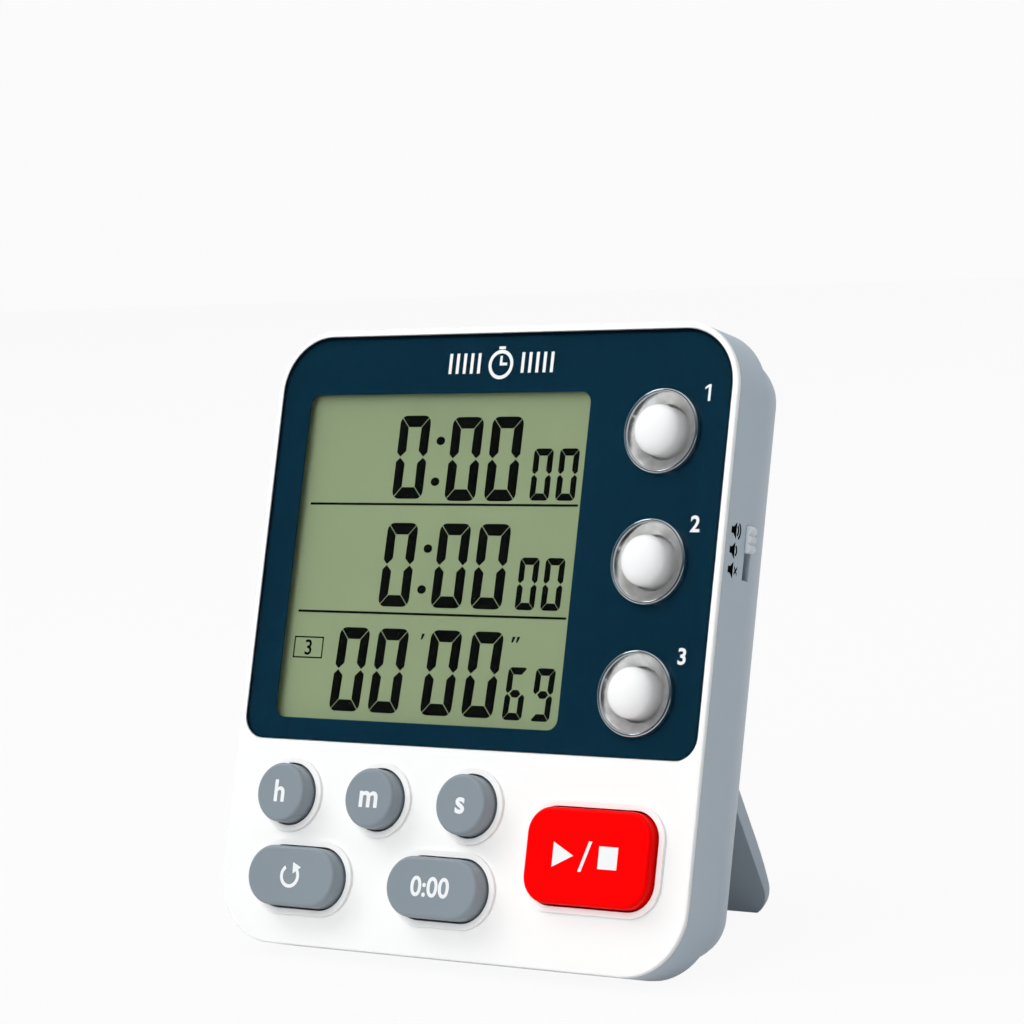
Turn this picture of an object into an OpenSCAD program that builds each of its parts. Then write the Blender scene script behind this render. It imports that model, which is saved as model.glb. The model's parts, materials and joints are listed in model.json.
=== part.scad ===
// Countertop digital timer with three channels, leaning back on a fold-out stand.
// The case frame has X to the right, Y from the face into the case and Z up the face from its bottom edge.
// place() leans that frame back, sets it on the ground plane Z = 0 and centres the whole.

/* [Case] */
// Width of the case
case_w = 86; // [84:0.5:94]
// Height of the case
case_h = 97; // [96.5:0.5:104]
// Radius of the case corners
corner_r = 10.4; // [9:0.1:12]
// Depth of the straight side, to the shoulder
rim_d = 8.1; // [8.1:0.1:8.6]
// Step in from the side to the back part
shoulder_side = 1; // [0.6:0.1:1.4]
// Step in from the top edge to the back part
shoulder_top = 2.4; // [2:0.1:3.2]
// Step in from the bottom edge to the back part
shoulder_bottom = 2.7; // [2:0.1:3]
// Corner radius of the back part
back_corner_r = 7.5; // [7:0.1:9]
// How far the rounded back edge runs inwards
back_round = 6.4; // [5.6:0.1:7.4]
// Thickness of the side walls
side_wall = 2; // [1.8:0.1:2.1]
// Thickness of the back wall
back_wall = 1.8; // [1.4:0.1:2]
// Depth of the white face shell at its edge
face_edge = 0.7; // [0.6:0.05:1.2]
// Radius of the rounded front edge
edge_r = 0.3; // [0.2:0.05:0.6]
// Thickness of the face
face_t = 2; // [1.8:0.1:2.4]
// Seam between the face shell and the tub
seam_gap = 0.05; // [0.03:0.01:0.15]
// Lean of the case from upright, in degrees
lean = 17.6; // [14:0.2:20]

/* [Panel and display] */
// Margin round the navy panel
panel_margin = 1; // [1:0.1:1.6]
// Height of the key field below the panel
key_field_h = 31.6; // [31.4:0.1:33]
// Radius of the panel's top corners
panel_r_top = 8.9; // [7:0.1:9.4]
// Radius of the panel's bottom corners
panel_r_bottom = 3.8; // [3:0.1:6]
// Thickness of the clear sheet
sheet_t = 0.4; // [0.3:0.05:0.5]
// Thickness of the printed mask
print_t = 0.12; // [0.1:0.02:0.16]
// Gap round the sheet in its recess
sheet_gap = 0.12; // [0.08:0.02:0.2]
// Display opening from the panel's left edge
window_left = 5.6; // [5.4:0.1:6.4]
// Display opening from the panel's top edge
window_top = 9.4; // [9:0.1:10]
// Display opening from the panel's right edge
window_right = 24.9; // [24.4:0.1:28]
// Display opening from the panel's bottom edge
window_bottom = 3.6; // [3.4:0.1:6]
// Radius of the display opening's corners
window_r = 1.8; // [1:0.1:3]
// How far the hole in the face is larger than the display opening
window_relief = 1.2; // [0.8:0.1:1.2]
// How far the display glass is larger than the display opening
glass_border = 1.6; // [1.5:0.05:1.7]
// Thickness of each glass plate
glass_t = 1.1; // [0.9:0.1:1.2]
// Thickness of the polariser and of the reflector
film_t = 0.2; // [0.15:0.05:0.25]
// Contact ledge along the bottom of the display glass
ledge_h = 2.4; // [2.2:0.1:3]
// Thickness of the frame round the display glass
lcd_frame_t = 0.75; // [0.6:0.05:0.8]

/* [Round buttons] */
// Button centres from the panel's right edge
ring_right = 11.23; // [11:0.01:12]
// Top button centre from the panel's top edge
ring_top = 15.7; // [15:0.1:16]
// Bottom button centre from the panel's bottom edge
ring_bottom = 9.57; // [9:0.01:11]
// Outer radius of a bezel ring
ring_r = 6.43; // [6.2:0.01:6.8]
// Height of a bezel ring above the panel
ring_h = 0.9; // [0.6:0.1:1.2]
// Radius of the bezel's lip line
lip_r = 6; // [5.8:0.05:6.1]
// Outer radius of the bezel's sleeve
sleeve_r = 5.25; // [5.2:0.05:5.5]
// Radius of a domed button
dome_r = 3.9; // [3.8:0.05:4.4]
// How far a domed button stands proud of the face
dome_proud = 3.4; // [2.6:0.1:3.6]
// Height of the rounded part of the dome
dome_h = 1.8; // [1:0.1:2]

/* [Keys] */
// Radius of a round key
key_r = 4.6; // [4.2:0.05:4.8]
// How far the grey keys stand proud
key_proud = 3.4; // [2.4:0.1:3.6]
// Left round key from the left side
key_left = 12.3; // [11.8:0.1:13]
// Right round key from the right side
key_right = 39.35; // [39:0.05:41]
// Height of the round keys above the bottom edge
key_z = 23.15; // [22.6:0.05:23.6]
// Width of an oblong key
oblong_w = 16.85; // [16:0.05:17.5]
// Height of an oblong key
oblong_h = 9.2; // [8.8:0.1:10]
// Left oblong key from the left side
oblong_left = 16.15; // [15.8:0.05:16.6]
// Right oblong key from the right side
oblong_right = 43.05; // [42.8:0.05:43.4]
// Height of the oblong keys above the bottom edge
oblong_z = 10.4; // [10:0.05:10.8]
// Width of the red key
red_w = 21.7; // [21:0.1:22.6]
// Height of the red key
red_h = 14.2; // [13.6:0.1:15]
// Corner radius of the red key
red_r = 4; // [3:0.1:5]
// How far the red key stands proud
red_proud = 2.4; // [1.8:0.1:2.8]
// Red key from the right side
red_right = 16.6; // [16:0.05:17]
// Height of the red key above the bottom edge
red_z = 16.75; // [16.3:0.05:17]
// Radius of the keys' rounded edges
key_edge = 0.6; // [0.3:0.05:0.7]
// Clearance between a key and its hole
key_gap = 0.3; // [0.2:0.05:0.35]
// Width of the moulded lip round a key
key_lip_w = 0.9; // [0.7:0.05:1.1]
// Height of the moulded lip round a key
key_lip_h = 0.6; // [0.3:0.05:0.7]
// Width of the flange that holds a key in
flange_w = 1; // [0.8:0.05:1.1]
// Thickness of that flange
flange_t = 0.8; // [0.6:0.05:0.9]
// Travel of every button and key
travel = 0.8; // [0.5:0.05:0.9]

/* [Silicone and board] */
// Thickness of the silicone sheets
pad_t = 0.4; // [0.3:0.05:0.5]
// Top radius of a silicone dome
pad_dome_r = 2.4; // [2:0.1:2.8]
// Thickness of the circuit board
board_t = 1.2; // [1:0.1:1.3]
// Gap between the board's edge and the side wall
board_gap = 0.6; // [0.5:0.1:0.8]

/* [Parts on the board] */
// Radius of the sealed chip
blob_r = 5; // [4:0.5:6]
// Height of the sealed chip
blob_h = 1.5; // [1:0.1:1.7]
// Crystal from the centre line
crystal_x = 9; // [8:0.5:12]
// Radius of the crystal's can
crystal_r = 1; // [0.8:0.05:1.1]
// Length of the crystal's can
crystal_len = 6; // [5:0.5:7]
// Capacitor from the centre line
capacitor_x = 20; // [19:0.5:22]
// Capacitor above the hinge
capacitor_up = 8.2; // [8:0.1:9]
// Radius of the capacitor
capacitor_r = 2; // [1.5:0.1:2.2]
// Height of the capacitor
capacitor_h = 5; // [4:0.1:5.2]
// Coil from the centre line
choke_x = 24; // [23:0.5:25]
// Coil above the hinge
choke_up = 2; // [1:0.5:3]
// Radius of the sounder's coil
choke_r = 3; // [2.4:0.1:3.2]
// Height of the sounder's coil
choke_h = 4.5; // [3.6:0.1:4.8]
// Size of a resistor along the row, into the case and across the row
resistor = [1.2, 0.5, 2];
// First resistor from the centre line
resistor_x = 26; // [24:0.5:27]
// Row of resistors below the hinge
resistor_down = 9; // [8:0.5:10]
// Spacing of the resistors
resistor_step = 3; // [2.4:0.1:3.2]
// Number of resistors
resistor_count = 6; // [3:1:7]

/* [Side switch] */
// Height of the switch's middle position
switch_z = 63.35; // [62:0.05:65]
// Depth of the slot's middle from the face
switch_y = 7.05; // [7.05:0.01:7.15]
// Width of the slot
slot_w = 1.8; // [1.6:0.05:1.9]
// Length of the knob
knob_len = 4; // [3.4:0.1:4.4]
// Distance between switch positions
switch_step = 2; // [1.8:0.05:2.1]
// How far the knob stands out of the side
knob_proud = 0.85; // [0.5:0.05:1.2]
// Height of the ridges on the knob
ridge_h = 0.46; // [0.3:0.02:0.5]
// Number of ridges on the knob
ridge_count = 3; // [2:1:4]

/* [Batteries] */
// Radius of a cell
cell_r = 5.1; // [5:0.05:5.2]
// Length of a cell with its contact button
cell_len = 44.5; // [44:0.1:44.6]
// Spacing of the two cells
cell_pitch = 10.7; // [10.5:0.05:10.8]
// Middle between the cells below the top edge
cells_down = 23.4; // [23.2:0.05:23.6]
// Length of a coil spring
spring_len = 5; // [4:0.1:6]
// Clearance round the cells
cell_gap = 0.2; // [0.15:0.05:0.3]
// Thickness of the contact plates
contact_t = 0.4; // [0.3:0.05:0.5]
// Half the size of a contact plate
contact_half = 4; // [3.5:0.1:4.2]
// Thickness of the battery box walls
box_wall = 1.2; // [1:0.1:1.4]
// Thickness of the battery box floor
box_floor = 0.8; // [0.7:0.05:1]
// Thickness of the battery door
door_t = 1.4; // [1.2:0.1:1.6]
// How far the door reaches past the box along its ends
door_end = 2.3; // [2:0.1:2.5]
// How far the door reaches past the box above and below
door_edge = 1.7; // [1.5:0.1:1.8]
// Clearance round the door
door_gap = 0.15; // [0.1:0.05:0.25]

/* [Stand] */
// Width of the stand
stand_w = 58.8; // [50:0.2:59.4]
// Thickness of the stand
stand_t = 2.4; // [2:0.1:2.6]
// How much shorter the stand is than its hinge is high
stand_short = 1; // [0.5:0.1:2]
// Hinge below the battery door
hinge_drop = 14.95; // [14.6:0.05:15.6]
// Length of the heel above the hinge
heel = 3; // [2.6:0.1:3.1]
// Corner radius of the stand's foot
stand_corner = 6; // [4:0.5:10]
// Thickness left at the stand's foot
foot_t = 0.8; // [0.6:0.1:1.2]
// Length over which the stand thins towards its foot
foot_taper = 13; // [8:1:20]
// How far the stand's outline runs on below the ground, where it is cut off
foot_past = 0.4; // [0.3:0.1:1]
// Radius of the hinge pins on the stand's sides
trunnion_r = 1; // [0.8:0.05:1.1]
// Length of the hinge pins
trunnion_len = 1.5; // [1:0.1:1.7]
// Radial clearance of the hinge pins
pin_gap = 0.05; // [0.03:0.01:0.09]
// Clearance round the folded stand
stand_gap = 0.4; // [0.3:0.05:0.5]
// Depth of the flat land that the case rests on
land_d = 0.25; // [0.15:0.05:0.4]

/* [Fasteners and magnets] */
// Upper case bosses from the sides
case_boss_side = 9.5; // [9:0.1:10]
// Upper case bosses below the top edge
case_boss_top = 6.1; // [6:0.05:6.2]
// Height of the lower case bosses
low_boss_z = 8; // [8:0.1:9]
// Radius of a case boss
boss_r = 1.8; // [1.6:0.05:1.9]
// Radius of a case screw's shank
screw_r = 0.95; // [0.8:0.05:1]
// Radius of a case screw's head
screw_head_r = 1.6; // [1.4:0.05:1.65]
// Radius of a board boss
board_boss_r = 1.5; // [1.3:0.05:1.5]
// Upper board bosses from the upper case bosses
board_boss_step = 9; // [8:0.1:10]
// Radius of a board screw's shank
board_screw_r = 0.7; // [0.6:0.05:0.8]
// Radius of a magnet
magnet_r = 4; // [3:0.1:4.1]
// Thickness of a magnet
magnet_t = 2.5; // [2:0.1:3]
// Magnets from the centre line
magnet_x = 18; // [12:0.5:24]
// Radius of the piezo disc
buzzer_r = 10; // [8:0.5:12]

/* [Hidden] */
$fn = 48;

// Thin slices that a hull joins
slice = 0.01;
// Smallest gap left between two pieces that touch on the real object
touch = 0.05;
// Reach of cuts past the surface that they open
past = 5;

// Depths, from the face inwards
recess_d = sheet_t + print_t + touch;
glass_y = face_t + 2 * touch;
board_y = glass_y + 2 * film_t + 2 * glass_t + 2 * touch;
board_back = board_y + board_t;
floor_y = board_back + 0.4;
cell_y = floor_y + box_floor + cell_gap / 2 + cell_r;
door_y = cell_y + cell_r + cell_gap;
case_d = door_y + door_t;
wall_in_y = case_d - back_wall;
hinge_y = case_d - stand_t / 2 - cell_gap;
recess_y = hinge_y - stand_t / 2 - 0.15;
inner_recess_y = recess_y - 1.4;

// Panel and what sits in it
panel_w = case_w - 2 * panel_margin;
panel_top = case_h - panel_margin;
panel_h = panel_top - key_field_h;
panel_z = panel_top - panel_h / 2;
window_w = panel_w - window_left - window_right;
window_h = panel_h - window_top - window_bottom;
window_x = window_left + window_w / 2 - panel_w / 2;
window_z = panel_top - window_top - window_h / 2;
ring_x = panel_w / 2 - ring_right;
ring_pitch = (panel_h - ring_top - ring_bottom) / 2;
ring_z = [for (i = [0:2]) panel_top - ring_top - i * ring_pitch];
key_pitch = (case_w - key_left - key_right) / 2;
key_x = [for (i = [0:2]) key_left - case_w / 2 + i * key_pitch];
oblong_x = [oblong_left - case_w / 2, case_w / 2 - oblong_right];
red_x = case_w / 2 - red_right;
glass_w = window_w + 2 * glass_border;
glass_h = window_h + 2 * glass_border;

// Bosses, as [x, z]
case_bosses = [
    [case_boss_side - case_w / 2, case_h - case_boss_top],
    [case_w / 2 - case_boss_side, case_h - case_boss_top],
    [(oblong_x[0] + oblong_x[1]) / 2, low_boss_z],
    [(oblong_x[1] + oblong_w / 2 + red_x - red_w / 2) / 2, low_boss_z]
];
board_boss_top = window_z + glass_h / 2 + lcd_frame_t + board_boss_r + 0.1;
board_boss_low = window_z - glass_h / 2 - lcd_frame_t - board_boss_r - 0.1;
board_bosses = [
    [case_bosses[0][0] + board_boss_step, board_boss_top],
    [case_bosses[1][0] - board_boss_step, board_boss_top],
    [ring_x + sleeve_r + board_boss_r, (ring_z[1] + ring_z[2]) / 2],
    [(key_x[0] + key_x[1]) / 2, board_boss_low]
];
seat_y = 13;
post_y = rim_d - back_wall + touch;
post_r = screw_head_r + 1;
tip_y = face_t + 1.3;

// Battery box
box_len = cell_len + spring_len + 2 * contact_t + 0.1;
box_h = cell_pitch + 2 * cell_r + 2 * cell_gap;
cell_left = -box_len / 2 + contact_t + spring_len;
cells_z = case_h - cells_down;
contact_z = [for (side = [-1, 1]) cells_z + side * cell_pitch / 2];
door_len = box_len + 2 * door_end;
door_h = box_h + 2 * door_edge;

// Stand: the foot reaches the ground at this angle
hinge_z = cells_z - door_h / 2 - hinge_drop;
stand_len = hinge_z - stand_short;
ground_drop = (hinge_z * cos(lean)) - (hinge_y - rim_d) * sin(lean) - land_d;
foot_angle = acos(ground_drop / stand_len);
open_angle = lean + foot_angle;
heel_reach = stand_t / 2 * cos(open_angle) + heel * sin(open_angle);
heel_radius = norm([stand_t / 2, heel]);
pocket_y = hinge_y - heel_reach - touch;

// Centre of the whole object along Y, from its front-most key edge and its foot
key_low_z = oblong_z - oblong_h / 2;
front_reach = (key_proud - key_edge + rim_d) * cos(lean) - (key_low_z + key_edge) * sin(lean) + key_edge;
hinge_back = (hinge_y - rim_d) * cos(lean) + hinge_z * sin(lean);
foot_reach = hinge_back + ground_drop * tan(foot_angle) + (foot_t - stand_t / 2) / cos(foot_angle);
mid_y = (foot_reach - front_reach) / 2;

// Magnets, halfway between the hinge and the door, and the sounder behind the stand
magnet_z = (hinge_z + heel_radius + cells_z - door_h / 2) / 2 - 0.3;
buzzer_z = (key_z + key_r + hinge_z) / 2 - 9;

// Coil springs
spring_turns = 3.5;
spring_wire = 0.3;
coil_r = 3.6;
coil_tip_r = 2.4;
coil_rings = 8;
coil_steps = spring_turns * coil_rings;

// Side switch
slot_len = knob_len + 2 * switch_step + 0.2;
inner_x = case_w / 2 - side_wall;
switch_face_x = inner_x - 2;

// Leans the case back, puts its rear bottom edge on the ground and centres the whole, knob and foot included
module place() {
    translate([-knob_proud / 2, -mid_y, -land_d])
        rotate([-lean, 0, 0])
            translate([0, -rim_d, 0])
                children();
}

// Everything under the ground plane
module ground() {
    translate([-100, -100, -50])
        cube([200, 200, 50]);
}

// A flat outline in X and Z, made solid between two depths
module slab(from, to) {
    translate([0, to, 0])
        rotate([90, 0, 0])
            linear_extrude(to - from)
                children();
}

// A shape turned about an axis along Y, with heights towards the viewer
module turned(x, z) {
    translate([x, 0, z])
        rotate([90, 0, 0])
            rotate_extrude()
                children();
}

// A round disc or hole between two depths
module disc(x, z, r, from, to) {
    translate([x, to, z])
        rotate([90, 0, 0])
            cylinder(h = to - from, r = r);
}

// A box between two corners
module block(low, high) {
    translate(low)
        cube(high - low);
}

// Rounded rectangle about its centre, with exact arcs
module rounded(w, h, r_top, r_bottom) {
    for (side = [-1, 1]) {
        translate([side * (w / 2 - r_top), h / 2 - r_top])
            circle(r_top);
        translate([side * (w / 2 - r_bottom), -h / 2 + r_bottom])
            circle(r_bottom);
    }
    translate([-w / 2, -h / 2 + r_bottom])
        square([w, h - r_top - r_bottom]);
    translate([-w / 2 + r_top, 0])
        square([w - 2 * r_top, h / 2]);
    translate([-w / 2 + r_bottom, -h / 2])
        square([w - 2 * r_bottom, h / 2]);
}

// Oblong outline with round ends
module oblong(w, h) {
    for (side = [-1, 1])
        translate([side * (w - h) / 2, 0])
            circle(h / 2);
    square([w - h, h], center = true);
}

// Outline of the case, drawn in by a wall
module case_outline(inset) {
    translate([0, case_h / 2])
        rounded(case_w - 2 * inset, case_h - 2 * inset, corner_r - inset, corner_r - inset);
}

// Outline of the back part, drawn in by a wall
module back_outline(inset) {
    w = case_w - 2 * shoulder_side - 2 * inset;
    h = case_h - shoulder_top - shoulder_bottom - 2 * inset;
    r = max(back_corner_r - inset, 0.3);
    translate([0, (case_h - shoulder_top + shoulder_bottom) / 2])
        rounded(w, h, r, r);
}

// The whole case form: a straight rim, then a rounded back
module case_form(inset, from, shelf, to) {
    slab(from, shelf + slice)
        case_outline(inset);
    hull()
        for (a = [0:10:90])
            slab(shelf + (to - shelf) * sin(a) - slice, shelf + (to - shelf) * sin(a))
                back_outline(inset + back_round * (1 - cos(a)));
}

// Outline of the sheet in the panel
module panel_outline(gap) {
    translate([0, panel_z])
        rounded(panel_w - 2 * gap, panel_h - 2 * gap, panel_r_top - gap, panel_r_bottom - gap);
}

// Outline of the display opening, grown or drawn in
module window_outline(grow) {
    translate([window_x, window_z])
        rounded(window_w + 2 * grow, window_h + 2 * grow, window_r, window_r);
}

// Quarter round at the outer edge of a key, from its side to its top
function edge_points(r, h) = [for (a = [0:15:90]) [r - key_edge * (1 - cos(a)), h - key_edge * (1 - sin(a))]];

// Outlines of the keys, grown or drawn in
module round_key_outline(i, grow) {
    translate([key_x[i], key_z])
        circle(key_r + grow);
}

module oblong_key_outline(x, grow) {
    translate([x, oblong_z])
        oblong(oblong_w + 2 * grow, oblong_h + 2 * grow);
}

module red_key_outline(grow) {
    translate([red_x, red_z])
        rounded(red_w + 2 * grow, red_h + 2 * grow, red_r + grow, red_r + grow);
}

module all_key_outlines(grow) {
    for (i = [0:2])
        round_key_outline(i, grow);
    for (x = oblong_x)
        oblong_key_outline(x, grow);
    red_key_outline(grow);
}

// Face shell

module face_blank() {
    hull()
        for (a = [0:15:90])
            slab(edge_r * (1 - sin(a)), edge_r * (1 - sin(a)) + slice)
                case_outline(edge_r * (1 - cos(a)));
    slab(edge_r, face_edge)
        case_outline(0);
    slab(face_edge - slice, face_t)
        case_outline(side_wall + seam_gap * 2);
    slab(-key_lip_h, edge_r)
        all_key_outlines(key_gap + key_lip_w);
    for (p = case_bosses)
        disc(p[0], p[1], boss_r, face_t - slice, post_y - seam_gap * 2);
    for (p = board_bosses)
        disc(p[0], p[1], board_boss_r, face_t - slice, board_y);
}

module front_case() {
    color("white")
        place()
            difference() {
                face_blank();
                slab(-past, recess_d)
                    panel_outline(0);
                slab(-past, face_t + past)
                    window_outline(window_relief);
                slab(-past, face_t + slice)
                    all_key_outlines(key_gap);
                for (z = ring_z)
                    disc(ring_x, z, sleeve_r + touch, -past, face_t + past);
                for (p = case_bosses)
                    disc(p[0], p[1], screw_r + 0.02, face_t + 1, post_y);
                for (p = board_bosses)
                    disc(p[0], p[1], board_screw_r + 0.02, face_t, board_y + past);
            }
}

// Tub with the battery box, the stand's recess, the screw posts and the switch slot

module tub_blocks() {
    box_x = box_len / 2 + box_wall;
    box_z = box_h / 2 + box_wall;
    frame_x = door_len / 2 + back_wall;
    frame_z = door_h / 2 + back_wall;
    recess_x = stand_w / 2 + stand_gap + 1.8;
    block([-box_x, floor_y, cells_z - box_z], [box_x, case_d, cells_z + box_z]);
    block([-frame_x, door_y - back_wall, cells_z - frame_z], [frame_x, case_d, cells_z + frame_z]);
    block([-recess_x, inner_recess_y, 0], [recess_x, case_d, hinge_z]);
    block([-recess_x, pocket_y - 1.3, hinge_z - heel_radius - 1.4],
          [recess_x, case_d, hinge_z + heel_radius + 1.4]);
    for (side = [-1, 1])
        disc(side * magnet_x, magnet_z, magnet_r + 1.2, case_d - magnet_t - 1.2, case_d);
    for (p = case_bosses)
        disc(p[0], p[1], post_r, post_y, case_d);
}

module tub_cuts() {
    half_recess = stand_w / 2 + stand_gap;
    block([-half_recess, recess_y, -past], [half_recess, case_d + past, hinge_z]);
    block([-half_recess, pocket_y, hinge_z - heel_radius - 0.1],
          [half_recess, case_d + past, hinge_z + heel_radius + 0.15]);
    for (side = [-1, 1])
        translate([side * (half_recess - slice), hinge_y, hinge_z])
            rotate([0, side * 90, 0])
                cylinder(h = trunnion_len - stand_gap + 0.3, r = trunnion_r + pin_gap);
    block([-box_len / 2, floor_y + box_floor, cells_z - box_h / 2],
          [box_len / 2, case_d + past, cells_z + box_h / 2]);
    block([-door_len / 2 - door_gap, door_y, cells_z - door_h / 2 - door_gap],
          [door_len / 2 + door_gap, case_d + past, cells_z + door_h / 2 + door_gap]);
    for (z = contact_z)
        block([-box_len / 2, floor_y - past, z - 1.6],
              [-box_len / 2 + contact_t + 0.1, floor_y + past, z + 1.6]);
    for (side = [-1, 1])
        disc(side * magnet_x, magnet_z, magnet_r + 0.02, case_d - magnet_t, case_d + past);
    for (p = case_bosses) {
        disc(p[0], p[1], screw_r + 0.15, 0, case_d + past);
        disc(p[0], p[1], screw_head_r + 0.15, seat_y, case_d + past);
    }
    translate([0, case_d + 4.6, cells_z - door_h / 2 - 0.4])
        rotate([0, 90, 0])
            cylinder(h = 12, r = 5.4, center = true);
    for (a = [0:72:288])
        disc(3.6 * cos(a), buzzer_z + 3.6 * sin(a), 0.8, 0, case_d + past);
    block([inner_x - 1, board_back + 0.1, switch_z - slot_len / 2 - switch_step - 0.4],
          [inner_x, switch_y + slot_w / 2 + 0.9, switch_z + slot_len / 2 + switch_step + 0.4]);
    block([inner_x - past, switch_y - slot_w / 2, switch_z - slot_len / 2],
          [inner_x + past, switch_y + slot_w / 2, switch_z + slot_len / 2]);
}

module rear_case() {
    color("lightsteelblue")
        difference() {
            place()
                difference() {
                    union() {
                        difference() {
                            case_form(0, face_edge + seam_gap, rim_d, case_d);
                            case_form(side_wall, 0, rim_d - back_wall, wall_in_y);
                        }
                        intersection() {
                            case_form(0, face_edge + seam_gap, rim_d, case_d);
                            tub_blocks();
                        }
                        disc(0, buzzer_z, buzzer_r + 1.2, inner_recess_y - 1.4, inner_recess_y + slice);
                    }
                    disc(0, buzzer_z, buzzer_r + 0.2, inner_recess_y - past, inner_recess_y);
                    tub_cuts();
                }
            ground();
        }
}

// Panel

module display_window() {
    color("aliceblue", 0.3)
        place()
            difference() {
                slab(touch, touch + sheet_t)
                    panel_outline(sheet_gap);
                for (z = ring_z)
                    disc(ring_x, z, sleeve_r + touch, -past, past);
            }
}

module panel_print() {
    color("midnightblue")
        place()
            difference() {
                slab(touch + sheet_t, touch + sheet_t + print_t)
                    panel_outline(sheet_gap);
                slab(-past, past)
                    window_outline(0);
                for (z = ring_z)
                    disc(ring_x, z, sleeve_r + touch, -past, past);
            }
}

// Chrome bezel: a raised lip, a cone down to the button and a sleeve through the face
module bezel_ring(i) {
    bore = dome_r + key_gap;
    color("silver")
        place()
            turned(ring_x, ring_z[i])
                polygon([
                    [bore, -face_t], [sleeve_r, -face_t], [sleeve_r, -touch], [ring_r, -touch],
                    [ring_r, 0.4 * ring_h], [ring_r - 0.1, 0.75 * ring_h], [lip_r + 0.12, ring_h - 0.04],
                    [lip_r - 0.05, ring_h], [lip_r - 0.2, ring_h - 0.06], [bore + 0.25, -0.35], [bore, -0.7]
                ]);
}

// White domed button with the flange that holds it in
module round_button(i) {
    color("white")
        place()
            turned(ring_x, ring_z[i])
                polygon(concat(
                    [[0, -face_t - flange_t], [sleeve_r + flange_w, -face_t - flange_t],
                     [sleeve_r + flange_w, -face_t - touch], [dome_r, -face_t - touch]],
                    [for (a = [0:10:90]) [dome_r * cos(a), dome_proud - dome_h * (1 - sin(a))]]
                ));
}

// Grey round key
module round_key(i) {
    color("slategray")
        place()
            turned(key_x[i], key_z)
                polygon(concat(
                    [[0, -face_t - flange_t], [key_r + flange_w, -face_t - flange_t],
                     [key_r + flange_w, -face_t - touch], [key_r, -face_t - touch]],
                    edge_points(key_r, key_proud),
                    [[0, key_proud]]
                ));
}

// Grey oblong key: a straight middle between two turned ends
module oblong_key(x) {
    half = (oblong_w - oblong_h) / 2;
    r = oblong_h / 2;
    color("slategray")
        place() {
            for (side = [-1, 1])
                turned(x + side * half, oblong_z)
                    polygon(concat([[0, -face_t - touch]], [[r, -face_t - touch]], edge_points(r, key_proud),
                        [[0, key_proud]]));
            translate([x - half, 0, oblong_z])
                rotate([90, 0, 90])
                    linear_extrude(2 * half)
                        polygon(concat(
                            [[face_t + touch, -r]],
                            [for (p = edge_points(r, key_proud)) [-p[1], -p[0]]],
                            [for (i = [6:-1:0])
                                [-edge_points(r, key_proud)[i][1], edge_points(r, key_proud)[i][0]]],
                            [[face_t + touch, r]]
                        ));
            slab(face_t + touch, face_t + flange_t)
                oblong_key_outline(x, flange_w);
        }
}

// Large red key
module start_stop_key() {
    color("red")
        place() {
            hull()
                for (a = [0:15:90])
                    slab(-red_proud + key_edge * (1 - sin(a)), -red_proud + key_edge * (1 - sin(a)) + slice)
                        red_key_outline(-key_edge * (1 - cos(a)));
            slab(key_edge - red_proud, face_t + touch + slice)
                red_key_outline(0);
            slab(face_t + touch, face_t + flange_t)
                red_key_outline(flange_w);
        }
}

// Display

module glass_outline(drop) {
    translate([window_x, window_z + drop / 2])
        square([glass_w, glass_h - drop], center = true);
}

module lcd_polariser() {
    color("darkseagreen")
        place()
            slab(glass_y, glass_y + film_t)
                glass_outline(0);
}

module lcd_glass() {
    color("lightcyan")
        place() {
            slab(glass_y + film_t, glass_y + film_t + glass_t)
                glass_outline(0);
            slab(glass_y + film_t + glass_t - slice, glass_y + film_t + 2 * glass_t)
                glass_outline(ledge_h);
        }
}

module lcd_reflector() {
    color("silver")
        place()
            slab(glass_y + film_t + 2 * glass_t, glass_y + 2 * film_t + 2 * glass_t)
                glass_outline(ledge_h);
}

module lcd_frame() {
    color("ivory")
        place()
            difference() {
                slab(face_t + touch, board_y - touch)
                    translate([window_x, window_z])
                        square([glass_w + 2 * lcd_frame_t, glass_h + 2 * lcd_frame_t], center = true);
                slab(0, board_y + past)
                    translate([window_x, window_z])
                        square([glass_w + 0.1, glass_h + 0.1], center = true);
            }
}

module zebra_connector() {
    color("dimgray")
        place()
            slab(glass_y + film_t + glass_t, board_y)
                translate([window_x, window_z - glass_h / 2 + ledge_h / 2])
                    square([window_w - 2, ledge_h - 0.4], center = true);
}

// Board and what is on it

module circuit_board() {
    color("forestgreen")
        place()
            difference() {
                slab(board_y, board_back)
                    case_outline(side_wall + board_gap);
                for (p = case_bosses)
                    disc(p[0], p[1], boss_r + 0.3, 0, case_d);
                for (p = board_bosses)
                    disc(p[0], p[1], board_screw_r + 0.1, 0, case_d);
            }
}

module chip_blob() {
    color("black")
        place()
            translate([-6, board_back, hinge_z + 3])
                rotate([-90, 0, 0])
                    rotate_extrude()
                        polygon(concat([[0, 0]], [for (a = [0:15:90]) [blob_r * cos(a), blob_h * sin(a)]]));
}

module crystal() {
    color("silver")
        place()
            translate([crystal_x, board_back + crystal_r + touch, hinge_z])
                cylinder(h = crystal_len, r = crystal_r);
}

module capacitor() {
    color("navy")
        place()
            disc(capacitor_x, hinge_z + capacitor_up, capacitor_r, board_back, board_back + capacitor_h);
}

module resistors() {
    color("black")
        place()
            for (i = [0:resistor_count - 1])
                translate([resistor_step * i - resistor_x, board_back, hinge_z - resistor_down])
                    cube(resistor);
}

module buzzer_coil() {
    color("saddlebrown")
        place()
            disc(-choke_x, hinge_z + choke_up, choke_r, board_back, board_back + choke_h);
}

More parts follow.
